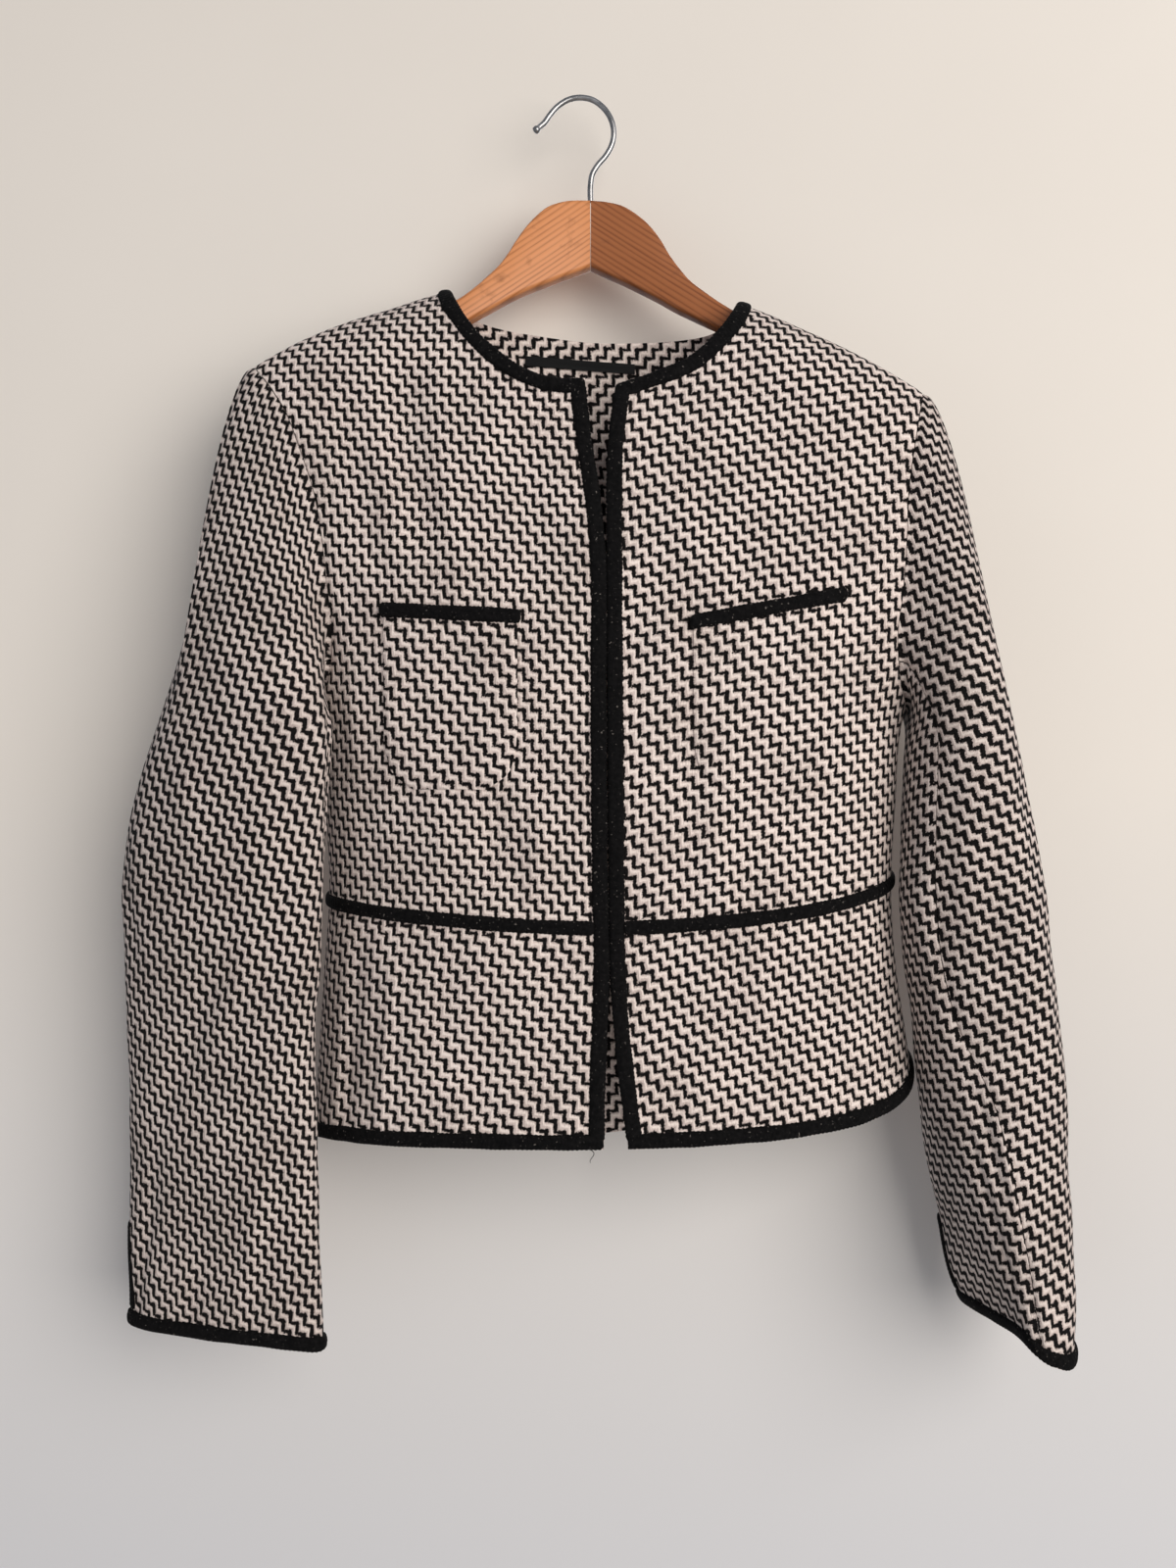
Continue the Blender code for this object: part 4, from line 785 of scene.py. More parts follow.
def sheet_of(name, outer, inner, repeats, look):
    """Closed thin piece from like grids of its outer and inner points, with the rim between them."""
    across, along = outer.shape[:2]
    count = across * along
    points = np.concatenate([outer.reshape(-1, 3), inner.reshape(-1, 3)])
    index = np.arange(count).reshape(across, along)
    face = np.stack([index[:-1, :-1], index[1:, :-1], index[1:, 1:], index[:-1, 1:]], -1).reshape(-1, 4)
    rim = np.concatenate([index[:, 0], index[-1, 1:], index[-2::-1, -1], index[0, -2:0:-1]])
    ahead = np.roll(rim, -1)
    wall = np.stack([rim, rim + count, ahead + count, ahead], -1)
    faces = np.concatenate([face, face[:, ::-1] + count, wall])
    square = np.cross(np.diff(outer, axis=0)[:, :-1], np.diff(outer, axis=1)[:-1])
    if np.sum(square * (outer - inner)[:-1, :-1]) < 0:
        faces = faces[:, ::-1]
    uv = np.concatenate([repeats.reshape(-1, 2)] * 2)
    return piece(name, points, faces, look, uv)


ROLL_DEEP, ROLL_REACH = 1.1 * MM, 3.2 * MM


def seam_roll(points, seams):
    """How far the cloth dips where it is sewn: a bell of the distance to the nearest seam line."""
    dip = np.zeros(points.shape[:2])
    for line, take in seams:
        gap = np.linalg.norm(points - line, axis=-1)
        dip = np.maximum(dip, np.where(take, np.exp(-((gap / ROLL_REACH) ** 2)), 0))
    return dip * ROLL_DEEP


def upper_panel(name, where, repeats, look, sides):
    """Upper panel of the body, its wall upright along the shoulder seam and dipped at its seams."""
    phi, z = where[..., 0], where[..., 1]
    normal = body_normal(phi, z)
    flat = unit(normal * np.array([1.0, 0.0, 1.0]))
    points = body(phi, z)
    below = ridge_height(points[..., 0]) - z
    upright = np.exp(-((below / (1.2 * MM)) ** 2))[..., None]
    normal = unit(normal * (1 - upright) + flat * upright)
    on_shoulder = (ridge_height(points[:, -1, 0]) - z[:, -1] < 0.2 * MM)[:, None]
    seams = [(points[:, -1:], np.broadcast_to(on_shoulder, z.shape))]
    seams += [(points[end : end + 1 or None], np.full(z.shape, True)) for end in sides]
    outer = points - seam_roll(points, seams)[..., None] * normal
    return sheet_of(name, outer, outer - WALL * normal, repeats, look)


CREAM, INK = (0.84, 0.735, 0.675), (0.0028, 0.0022, 0.0022)
cloth_body = tweed("tweed_body", CREAM, INK, thick=0.03)
where = front_grid(-1)
front_right = upper_panel(
    "front_right_cloth", where, body_repeats(where, 3, 0.5, ease=1.11), cloth_body, (-1,)
)
where = front_grid(1)
front_left = upper_panel(
    "front_left_cloth", where, body_repeats(where, -8.5, 1, 0, (0.3, 0.6)), cloth_body, (-1,)
)
where = back_grid()
back = upper_panel("back_cloth", where, body_repeats(where, -1, 0, np.pi, (0.5, 0.2)), cloth_body, (0, -1))
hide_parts("front_right")
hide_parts("front_left")
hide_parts("back")
HANGER = ["hanger_arm_right_wood", "hanger_arm_left_wood"]

# ---------------------------------------------------------------------------------------------
# Peplum, the short flared lower part, sewn to the upper panels at the waist and cut with them at
# the side seams. Its lower edge dips and flares.
# ---------------------------------------------------------------------------------------------
HEM_ROWS = (
    (-90, -614), (-60, -611), (-30, -609), (0, -608), (35, -603), (60, -594), (76, -584),
    (90, -573), (105, -572), (135, -594), (180, -620), (225, -622), (270, -614),
)


def hem(phi):
    return pair(np.degrees(phi), HEM_ROWS) * MM


def peplum_grid(start_phi, end_phi, across, side=0):
    """Lower panel between the waist seam and the hem. A front one ends on the front edge."""
    a, r = across[:, None], np.linspace(0, 1, 46)[None, :]
    phi = start_phi + (end_phi - start_phi) * a + 0 * r
    z = (waist(phi) - SEAM / 2) * (1 - r) + hem(phi) * r
    if side:
        phi = phi + (edge_phi(z, side) - start_phi) * (1 - a)
        z = (waist(phi) - SEAM / 2) * (1 - r) + hem(phi) * r
    return np.stack([phi, z], -1)


def lower_panel(name, where, repeats, look, sides):
    """Lower panel of the body, dipped at the seams it is sewn along."""
    phi, z = where[..., 0], where[..., 1]
    normal, points = body_normal(phi, z), body(phi, z)
    seams = [(points[:, :1], np.full(z.shape, True))]
    seams += [(points[end : end + 1 or None], np.full(z.shape, True)) for end in sides]
    outer = points - seam_roll(points, seams)[..., None] * normal
    return sheet_of(name, outer, outer - WALL * normal, repeats, look)


where = peplum_grid(0, -SIDE_PHI, np.linspace(0, 1, 96), -1)
peplum_front_right = lower_panel(
    "peplum_front_right_cloth", where, body_repeats(where, 4.5, -3), cloth_body, (-1,)
)
where = peplum_grid(0, SIDE_PHI, np.linspace(0, 1, 96), 1)
peplum_front_left = lower_panel(
    "peplum_front_left_cloth", where, body_repeats(where, -10, 6, 0, (0.1, 0.4)), cloth_body, (-1,)
)
where = peplum_grid(np.pi - SIDE_PHI, np.pi + SIDE_PHI, np.linspace(0, 1, 150))
peplum_back = lower_panel(
    "peplum_back_cloth", where, body_repeats(where, 0, 1, np.pi, (0.7, 0.1)), cloth_body, (0, -1)
)
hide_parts("peplum_front_right")
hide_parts("peplum_front_left")
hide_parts("peplum_back")

# ---------------------------------------------------------------------------------------------
# Sleeves, cut in two: a top sleeve that shows outside, and a narrower under sleeve towards the
# body. Each is a patch of a tube that starts on the armhole as a rounded head and hangs to the
# cuff. The back seam ends in an open vent above the cuff.
# Each row: height, middle across and in depth, half width, half thickness (mm), turn of the
# section, twist of the cloth round it (deg), squareness, dent inside (mm).
# ---------------------------------------------------------------------------------------------
SLEEVE_COLUMNS = ("z", "x", "y", "half_w", "half_t", "turn", "twist", "square", "dent")
SLEEVE_R_ROWS = (
    (-722, -200.7, -43, 58.2, 12, 12, 100, 2.6, 0),
    (-680, -201.0, -44, 57.5, 14, 12, 97, 2.4, 0),
    (-628, -201.5, -45, 57.0, 17, 13, 92, 2.3, 0),
    (-551, -202.5, -46, 56.5, 20, 13, 78, 2.2, 0),
    (-496, -202.0, -47, 59.5, 22, 13, 68, 2.2, 0),
    (-452, -200.5, -48, 60.2, 23.5, 13, 60, 2.2, 0),
    (-408, -195.0, -49, 56.8, 25.5, 14, 54, 2.2, 0),
    (-380, -189.5, -49, 53.0, 26, 15, 50, 2.2, 0),
)
SLEEVE_L_ROWS = (
    (-727, 252.5, -36, 21.0, 41.5, 7, -26, 2.6, 14),
    (-700, 247.0, -34, 28.5, 42.0, 13, -26, 2.5, 13),
    (-665, 243.5, -32, 32.5, 42.5, 14, -25, 2.4, 7),
    (-625, 239.0, -31, 37.0, 42.5, 14, -24, 2.3, 3),
    (-589, 237.0, -31, 38.5, 42.5, 11, -18, 2.3, -2),
    (-533, 233.0, -32, 37.5, 43.5, 4, 2, 2.3, -7),
    (-480, 228.0, -33, 37.0, 44.0, 0, 4, 2.3, -8),
    (-430, 223.0, -34, 34.0, 44.5, 0, 4, 2.2, -5),
    (-385, 218.5, -34, 29.0, 44.5, 0, 4, 2.2, -2),
)
CUFF_R_ROWS = ((-100, -716), (-10, -719), (80, -724), (130, -723), (200, -718), (260, -716))
CUFF_L_ROWS = (
    (-100, -714), (-50, -720), (0, -723), (60, -727), (110, -726), (130, -721), (150, -717),
    (200, -715), (260, -714),
)
CROWN_GIRTH, CROWN_BELL = 47 * MM, 145 * MM
VENT_TOP_R, VENT_TOP_L, VENT_OPEN = -657 * MM, -662 * MM, 2.4
FRONT_SEAM_ROW, BACK_SEAM_ROW = 0.48, 0.611

# Creases in each sleeve: angle round the tube's section and height where each starts and ends
# (deg, mm), half width (deg), depth (mm), a trough where positive and a ridge where negative.
CREASE_R_ROWS = (
    (105, -500, 62, -600, 9, 2.4), (62, -600, 30, -716, 8, 2.2), (125, -470, 90, -560, 8, -1.6),
    (120, -620, 95, -722, 7, -2.2), (150, -560, 128, -660, 8, 2.0), (20, -430, 45, -520, 10, 1.6),
    (70, -385, 92, -470, 9, -1.4), (150, -400, 138, -480, 10, 1.8), (90, -660, 75, -722, 6, 1.6),
    (250, -430, 235, -560, 12, 2.4), (300, -520, 285, -650, 12, -2.2), (215, -600, 225, -720, 10, 1.8),
)
CREASE_L_ROWS = (
    (128, -560, 118, -640, 7, 2.6), (112, -585, 108, -660, 5, -2.0), (140, -590, 131, -690, 6, 2.4),
    (150, -440, 142, -560, 9, -2.0), (120, -400, 128, -500, 9, 2.0), (88, -430, 96, -540, 9, 1.6),
    (60, -470, 50, -600, 10, -1.8), (75, -600, 82, -716, 8, 1.8), (40, -390, 46, -470, 10, 1.5),
    (100, -660, 96, -722, 6, -1.4), (200, -430, 210, -560, 12, 2.2), (255, -500, 245, -660, 12, -2.2),
    (300, -420, 312, -560, 12, 2.0),
)


def sleeve_folds(psi, z, side):
    """Depth of the sleeve's creases, the angles wrapped round the section."""
    total = np.zeros(np.broadcast(psi, z).shape)
    for row in CREASE_L_ROWS if side > 0 else CREASE_R_ROWS:
        fold = dict(zip(FOLD_COLUMNS, row))
        along = (z / MM - fold["z_0"]) / (fold["z_1"] - fold["z_0"])
        middle = fold["phi_0"] + (fold["phi_1"] - fold["phi_0"]) * along
        across = (np.mod(np.degrees(psi) - middle + 180, 360) - 180) / fold["half"]
        fade = np.sin(np.pi * np.clip(along, 0, 1)) ** 0.7
        total += fold["depth"] * MM * fade * np.exp(-(across**2))
    waves = 0.30 * np.sin(3 * psi + 61 * z) + 0.22 * np.sin(5 * psi - 97 * z + 1.3)
    return total + (waves + 0.16 * np.sin(2 * psi + 151 * z + 0.4)) * MM


def sleeve_ring(phi, z, side):
    """Point of the sleeve tube below the underarm, at an angle round the cloth and a height."""
    rows = SLEEVE_L_ROWS if side > 0 else SLEEVE_R_ROWS
    at = {name: column(z, rows, name, SLEEVE_COLUMNS) / MM for name in SLEEVE_COLUMNS[1:]}
    psi = phi + np.radians(at["twist"])
    square = 2 / at["square"]
    fade = np.clip((tube_top(side) - z) / (25 * MM), 0, 1)
    sunk = sleeve_folds(psi, z, side) / MM * fade
    half_w, half_t = at["half_w"] - sunk, at["half_t"] - sunk
    w = half_w * np.sign(np.cos(psi)) * np.abs(np.cos(psi)) ** square
    w = w + at["dent"] * np.clip(-np.cos(psi + 0.25), 0, 1) ** 3
    t = -half_t * np.sign(np.sin(psi)) * np.abs(np.sin(psi)) ** square
    turn = np.radians(at["turn"])
    x = side * (w * np.cos(turn) - t * np.sin(turn))
    y = w * np.sin(turn) + t * np.cos(turn)
    return np.stack([(x + at["x"]) * MM, (y + at["y"]) * MM, z + 0 * x], -1)


def crown_shares():
    """Angle round the sleeve from the shoulder tip, and the share of the armhole passed by then."""
    angle = np.linspace(0, np.pi, 200)
    rate = np.hypot(CROWN_GIRTH, 0.5 * CROWN_BELL * np.sin(angle))
    length = np.concatenate([[0], np.cumsum((rate[1:] + rate[:-1]) / 2)])
    return angle, length / length[-1]


def arm_ring(phi, side):
    """Armhole at an angle round the sleeve, 0 at the shoulder tip and 180 deg at the underarm.

    Gives the point, the body's outward direction there, and the direction away from the panel.
    """
    phi = np.mod(phi, 2 * np.pi)
    behind = phi > np.pi
    share = np.interp(np.where(behind, 2 * np.pi - phi, phi), *crown_shares())
    found, normal, outward = np.zeros((3,) + phi.shape + (3,))
    for rear in (False, True):
        line = arm_line(side, rear)[::-1]
        run = shares(line * np.array([PHI_SCALE, 1.0]))
        space = body(line[:, 0], line[:, 1])
        square = body_normal(line[:, 0], line[:, 1])
        away = unit(np.cross(square, np.gradient(space, axis=0))) * (-side if rear else side)
        clear = space + ARM_SEAM * away
        use = behind if rear else ~behind
        for i in range(3):
            found[..., i][use] = np.interp(share, run, clear[:, i])[use]
            normal[..., i][use] = np.interp(share, run, square[:, i])[use]
            outward[..., i][use] = np.interp(share, run, away[:, i])[use]
    return found, unit(normal), unit(outward)


def seam_angle(row, behind):
    """Angle round the sleeve at the armhole station of this panel row."""
    angle, length = crown_shares()
    found = np.interp(1 - (row - ARM_START) / (1 - ARM_START), length, angle)
    return 2 * np.pi - found if behind else found


def tube_top(side):
    return max(row[0] for row in (SLEEVE_L_ROWS if side > 0 else SLEEVE_R_ROWS)) * MM


def cuff(phi, side):
    """Height of the sleeve's lower edge at this angle."""
    start, end = -100, 260
    angle = start + np.mod(np.degrees(phi) - start, end - start)
    angle = np.where(np.degrees(phi) > 180, np.degrees(phi), angle)
    return pair(angle, CUFF_L_ROWS if side > 0 else CUFF_R_ROWS) * MM


def sleeve(phi, w, side):
    """Point of a sleeve: w from 0 at the armhole to 1 at the top of the tube, then 2 at the cuff.

    The head is a cubic from the armhole, leaving outwards, to the tube, arriving downwards.
    """
    phi, w = np.broadcast_arrays(np.asarray(phi, float), np.asarray(w, float))
    z_top = np.full(phi.shape, tube_top(side))
    start, _, away = arm_ring(phi, side)
    end = sleeve_ring(phi, z_top, side)
    drop = 20 * MM
    down = (sleeve_ring(phi, z_top - drop, side) - end) / drop
    reach = np.linalg.norm(end - start, axis=-1, keepdims=True)
    leave = unit(away + np.array([side * 0.9, -0.05, -0.5])) * (0.28 * reach + 5 * MM)
    arrive = down * reach * 0.75
    t = np.clip(w, 0, 1)[..., None]
    head = (2 * t**3 - 3 * t**2 + 1) * start + (t**3 - 2 * t**2 + t) * leave
    head = head + (3 * t**2 - 2 * t**3) * end + (t**3 - t**2) * arrive
    z = z_top + (cuff(phi, side) - z_top) * np.clip(w - 1, 0, 1)
    return np.where((w <= 1)[..., None], head, sleeve_ring(phi, z, side))


def rate_at(z, phi, side):
    """The w of this height on the tube."""
    return 1 + (tube_top(side) - z) / (tube_top(side) - cuff(phi, side))


def sleeve_normal(phi, w, side):
    step_phi, step_w = 0.02, 0.01
    ring = sleeve(phi + step_phi, w, side) - sleeve(phi - step_phi, w, side)
    above = sleeve(phi, w - np.minimum(step_w, w), side)
    below = sleeve(phi, np.minimum(w + step_w, 2), side)
    found = unit(np.cross(ring, above - below)) * -side
    at_arm = arm_ring(phi, side)[1]
    share = np.clip(1 - w / 0.06, 0, 1)[..., None]
    return unit(found * (1 - share) + at_arm * share)


GAP_PHI = SEAM / CROWN_GIRTH
front_seam, back_seam = seam_angle(FRONT_SEAM_ROW, False), seam_angle(BACK_SEAM_ROW, True)
HEAD_SHARES = np.linspace(0, 1, 50)[:-1] ** 1.6
SLEEVE_SHARES = np.concatenate([HEAD_SHARES, np.linspace(1, 2, 105)])


def vent_spread(w, vent_w):
    return np.radians(VENT_OPEN) * np.clip((w - vent_w) / (2 - vent_w), 0, 1)


def laid_out(points, along):
    """Lengths over a grid of points whose slope is nearest to these unit directions.

    Least squares of (f(b) - f(a) - along . (b - a))^2 / |b - a| over the grid's edges, by
    conjugate gradients.
    """
    steps = [np.diff(points, axis=i) for i in (0, 1)]
    weights = [1 / (np.linalg.norm(step, axis=-1) + 1e-6) for step in steps]
    half = [(along[1:] + along[:-1]) / 2, (along[:, 1:] + along[:, :-1]) / 2]

    def gathered(first, second):
        total = np.zeros(points.shape[:2])
        total[1:] += first
        total[:-1] -= first
        total[:, 1:] += second
        total[:, :-1] -= second
        return total

    def pulled(f):
        return gathered(*(weights[i] * np.diff(f, axis=i) for i in (0, 1)))

    wanted = gathered(*(weights[i] * np.sum(half[i] * steps[i], axis=-1) for i in (0, 1)))
    scale = gathered(weights[0], 0 * weights[1]) * 0
    scale[1:] += weights[0]
    scale[:-1] += weights[0]
    scale[:, 1:] += weights[1]
    scale[:, :-1] += weights[1]
    f = np.sum(points * along.mean((0, 1)), axis=-1)
    rest = wanted - pulled(f)
    eased = rest / scale
    heading, size = eased, np.sum(rest * eased)
    for _ in range(900):
        back = pulled(heading)
        amount = size / np.sum(heading * back)
        f = f + amount * heading
        rest = rest - amount * back
        eased = rest / scale
        size, before = np.sum(rest * eased), size
        heading = eased + size / before * heading
    return f


def sleeve_repeats(points, normal, side, weft, warp, shift, ease):
    """The weave's place on a sleeve: its warp runs as near as it can straight down the cloth."""
    upward = np.array([-0.05 * side, 0.0, 1.0])
    up = unit(upward - np.sum(normal * upward, axis=-1, keepdims=True) * normal)
    across = np.cross(up, normal)
    return in_repeats(laid_out(points, across), laid_out(points, up), weft, warp, shift, ease)


def sleeve_piece(name, side, start, stop, count, vents, lean, shift, ease):
    """One cut of a sleeve, from its first seam round to its last, dipped at seams and armhole."""
    vent_w = float(rate_at(VENT_TOP_L if side > 0 else VENT_TOP_R, back_seam, side))
    spread = vent_spread(SLEEVE_SHARES, vent_w)
    first = start + GAP_PHI + vents[0] * spread
    last = stop - GAP_PHI - vents[1] * spread
    share = np.linspace(0, 1, count)[:, None]
    phi = first + (last - first) * share
    w = np.broadcast_to(SLEEVE_SHARES, phi.shape)
    face, normal = sleeve(phi, w, side), sleeve_normal(phi, w, side)
    repeats = sleeve_repeats(face, normal, side, *lean, shift, ease)
    sewn = w < vent_w if vents[0] else np.full(w.shape, True)
    closed = w < vent_w if vents[1] else np.full(w.shape, True)
    seams = [(face[:1], sewn), (face[-1:], closed), (face[:, :1], np.full(w.shape, True))]
    outer = face - seam_roll(face, seams)[..., None] * normal
    return sheet_of(name, outer, outer - WALL * normal, repeats, cloth_sleeve)


# The sleeves' cloth is the body's with the cream dimmed to 0.84 as painted shade, for sleeves turned from
# the light, and its black bars drawn wider, which darkens it further.
SLEEVE_SHADE = 0.84
cloth_sleeve = tweed("tweed_sleeve", tuple(SLEEVE_SHADE * c for c in CREAM), INK, thick=0.06)
sleeves = {}
for side, word, lean, ease in ((-1, "right", (11, -1), 1.26), (1, "left", (-10, 4), 1.0)):
    made = sleeve_piece(
        f"sleeve_top_{word}_cloth", side, back_seam - 2 * np.pi, front_seam, 150, (1, 0), lean,
        (0.2, 0.3), ease,
    )
    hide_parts(f"sleeve_top_{word}")
    sleeves["top", side] = made
    made = sleeve_piece(
        f"sleeve_under_{word}_cloth", side, front_seam, back_seam, 80, (0, 1), lean,
        (0.6, 0.8), ease,
    )
    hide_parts(f"sleeve_under_{word}")
    sleeves["under", side] = made

# ---------------------------------------------------------------------------------------------
# Patch pockets, one on each front: a square of the same cloth with rounded lower corners,
# sewn round three sides. A braid covers the mouth of each.
# ---------------------------------------------------------------------------------------------
POCKET_ROWS = ((0, 1), (0.25, 1), (0.5, 1), (0.7, 0.99), (0.82, 0.95), (0.92, 0.84), (1, 0.55))
POCKETS = (
    ("right", -109 * MM, -34 * MM, -308.5 * MM, -313.5 * MM, -411 * MM, (4.5, 2)),
    ("left", 146 * MM, 62.5 * MM, -300.5 * MM, -316.5 * MM, -411.5 * MM, (-8.5, 1)),
)
pockets = {}
for word, x_out, x_in, z_out, z_in, z_low, lean in POCKETS:
    share = np.linspace(0, 1, 64)[:, None]
    down = np.linspace(0, 1, 72)
    half = curve(down, *np.array(POCKET_ROWS).T)
    x = (x_out + x_in) / 2 + (x_in - x_out) * (share - 0.5) * half
    z_top = z_out + (z_in - z_out) * (0.5 + (share - 0.5) * half)
    z = z_top + (z_low - z_top) * down
    where = np.stack([phi_at(x, z), z], -1)
    normal = body_normal(where[..., 0], z)
    face = body(where[..., 0], z) + (LIFT + POCKET_WALL) * normal
    edge = np.minimum(np.minimum(share, 1 - share) * 75, (1 - down) * 100)
    face = face - (1.0 * np.exp(-((edge / 2.0) ** 2)) * MM)[..., None] * normal
    shift = (0.3, 0.6) if word == "left" else (0.0, 0.0)
    made = sheet_of(
        f"pocket_{word}_cloth", face, face - POCKET_WALL * normal,
        body_repeats(where, *lean, 0, shift), cloth_body,
    )
    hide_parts(f"pocket_{word}")
    pockets[word] = made

# ---------------------------------------------------------------------------------------------
# Black knitted braid, 8.5 mm wide, sewn flat over every edge and seam line that shows: the neck,
# both front edges, the waist, the hem, the pocket mouths, the cuffs and their vents. It is soft,
# rounded across and lumpy along, with ribs that slant from its middle, and a few pale fibres.
# ---------------------------------------------------------------------------------------------
BRAID_STEP = 0.7 * MM


def black_braid():
    """Matt black wool and cotton, with a nap of fine fibres and a scatter of pale specks."""
    look, shader, node, plug, sum_of = nodes_of("black_braid")
    where = node("ShaderNodeTexCoord").outputs["Object"]
    nap = node("ShaderNodeTexNoise", {"Vector": where, "Scale": 1900.0, "Detail": 3.0}).outputs["Fac"]
    lump = node("ShaderNodeTexNoise", {"Vector": where, "Scale": 420.0, "Detail": 3.0}).outputs["Fac"]
    black = ramp(node, lump, (0.35, (0.0012, 0.0011, 0.0013)), (0.75, (0.0060, 0.0054, 0.0056)))
    speck = node("ShaderNodeTexNoise", {"Vector": where, "Scale": 700.0, "Detail": 2.0}).outputs["Fac"]
    pale = node("ShaderNodeMapRange", {"Value": speck, "From Min": 0.68, "From Max": 0.75}).outputs[0]
    mixed = node(
        "ShaderNodeMix",
        {"Factor": sum_of("MULTIPLY", pale, 0.35), "A": black, "B": (0.45, 0.40, 0.36, 1)},
        data_type="RGBA",
    )
    plug(mixed.outputs[2], "Base Color")
    shader.inputs["Roughness"].default_value = 0.88
    shader.inputs["Specular IOR Level"].default_value = 0.12
    shader.inputs["Sheen Weight"].default_value = 0.015
    shader.inputs["Sheen Roughness"].default_value = 0.4
    height = sum_of("ADD", sum_of("MULTIPLY", nap, 0.5), lump)
    bump = node("ShaderNodeBump", {"Height": height, "Strength": 0.6, "Distance": 0.0006})
    plug(bump.outputs[0], "Normal")
    return look


def braid(name, node_name, first, second, normal, lift=0.0):
    """Braid laid between two like lines of points on the cloth.

    Across, t runs from -1 to 1 and the height is thick * (1 - |t|^3)^0.6, with ribs
    0.17 mm * cos(2 pi (s / 2.5 mm - 0.8 |t|)); along, both edges swell with the ribs, and each
    end closes over a quarter circle.
    """
    middle, half = (first + second) / 2, (second - first) / 2
    run = np.concatenate([[0], np.cumsum(np.linalg.norm(np.diff(middle, axis=0), axis=1))])
    s = np.linspace(0, run[-1], int(run[-1] / BRAID_STEP) + 2)
    middle, half, normal = (
        np.stack([np.interp(s, run, values[:, i]) for i in range(3)], -1)[:, None]
        for values in (middle, half, normal)
    )
    normal = unit(normal)
    s, t = s[:, None], np.linspace(-1, 1, 13)
    end = np.clip(np.minimum(s, s[-1] - s) / (2.4 * MM), 0.02, 1)
    end = np.sqrt(1 - (1 - end) ** 2)
    beat = 2 * np.pi * (s / (2.5 * MM) - 0.8 * np.abs(t))
    swell = 0.05 * np.cos(beat) + 0.03 * np.sin(s / (7.3 * MM)) + 0.02 * np.sin(s / (3.1 * MM) + 1)
    height = 1.75 * MM * (1 - np.abs(t) ** 3) ** 0.6
    height = height * (1 + 0.06 * np.sin(s / (5.7 * MM))) + 0.17 * MM * np.cos(beat) * (1 - t**2)
    height = np.maximum(height, 0) * (0.35 + 0.65 * end) + lift + 0.35 * MM
    over = middle + half * (t * (1 + swell) * (0.3 + 0.7 * end))[..., None] + normal * height[..., None]
    under = middle + half * (np.array([0.9, -0.9]) * (0.3 + 0.7 * end))[..., None]
    under = under + normal * (lift + 0.05 * MM)
    grid = np.concatenate([over, under], axis=1)
    made = piece(name, grid, turned_out(grid, loft(grid)), braid_look, sharp=60)
    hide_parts(node_name)
    return made


def on_body(first, second):
    """Points of two lines of (phi, z), and the outward direction half way between them."""
    where = (first + second) / 2
    points = [body(line[:, 0], line[:, 1]) for line in (first, second)]
    return *points, body_normal(where[:, 0], where[:, 1])


def on_ridge(x_edge, x_inner):
    """The same at one place on the shoulder ridge, where the outward direction is up."""
    x = np.array([x_edge, x_inner])
    rise = (ridge_height(x + MM) - ridge_height(x - MM)) / (2 * MM)
    points = np.stack([x, ridge_depth(x), ridge_height(x)], -1)
    return points[:1], points[1:], unit(np.array([[-rise.mean(), 0, 1]]))


def neck_lines(rows, behind):
    index = np.unique(np.round(np.linspace(0, 1, 100) * 239).astype(int))
    return [neck_points(rows, behind, 240, width)[index] for width in (0, BRAID_WIDTH)]


braid_look = black_braid()
right_neck, left_neck = neck_lines(NECK_R_ROWS, False), neck_lines(NECK_L_ROWS, False)
back_neck = neck_lines(NECK_BACK_ROWS, True)
for lines, side in ((right_neck, -1), (left_neck, 1)):
    low = lines[0][0, 1] - BRAID_WIDTH
    lines[1][0] = (edge_phi(low, side), low)
x_neck_r, x_neck_l = NECK_R_ROWS[-1][0] * MM, NECK_L_ROWS[-1][0] * MM
around = (
    on_body(right_neck[0][:-2], right_neck[1][:-2]),
    on_ridge(x_neck_r, x_neck_r - BRAID_WIDTH),
    on_body(back_neck[0][2:-2], back_neck[1][2:-2]),
    on_ridge(x_neck_l, x_neck_l + BRAID_WIDTH),
    on_body(left_neck[0][-3::-1], left_neck[1][-3::-1]),
)
first, second, normal = (np.concatenate(parts) for parts in zip(*around))
braid_neck = braid("braid_neck_knit", "braid_neck", first, second, normal)

FRONT_BRAID_SPAN = (-0.5 * MM, BRAID_WIDTH - 0.2 * MM)     # from past the edge to inside it
front_braids, pocket_braids = {}, {}
for side, word, rows in ((-1, "right", NECK_R_ROWS), (1, "left", NECK_L_ROWS)):
    z = np.linspace(rows[0][1] * MM - BRAID_WIDTH * 0.45, float(hem(0.0)) + BRAID_WIDTH * 0.5, 260)
    x_edge = body(edge_phi(z, side), z)[:, 0]
    lines = [np.stack([phi_at(x_edge + side * step, z), z], -1) for step in FRONT_BRAID_SPAN]
    lines = on_body(*lines)
    front_braids[word] = braid(f"braid_front_{word}_knit", f"braid_front_{word}", *lines)


def all_round(z_edge, inset):
    """Angles from one centre front edge round the back to the other, and each one from 0 to 360."""
    right, left = (
        float(phi_at(body(edge_phi(z_edge, side), z_edge)[0] + side * inset, z_edge)) for side in (-1, 1)
    )
    phi = np.linspace(right, -2 * np.pi + left, 620)
    return phi, np.where(phi < -QUARTER, phi + 2 * np.pi, phi)


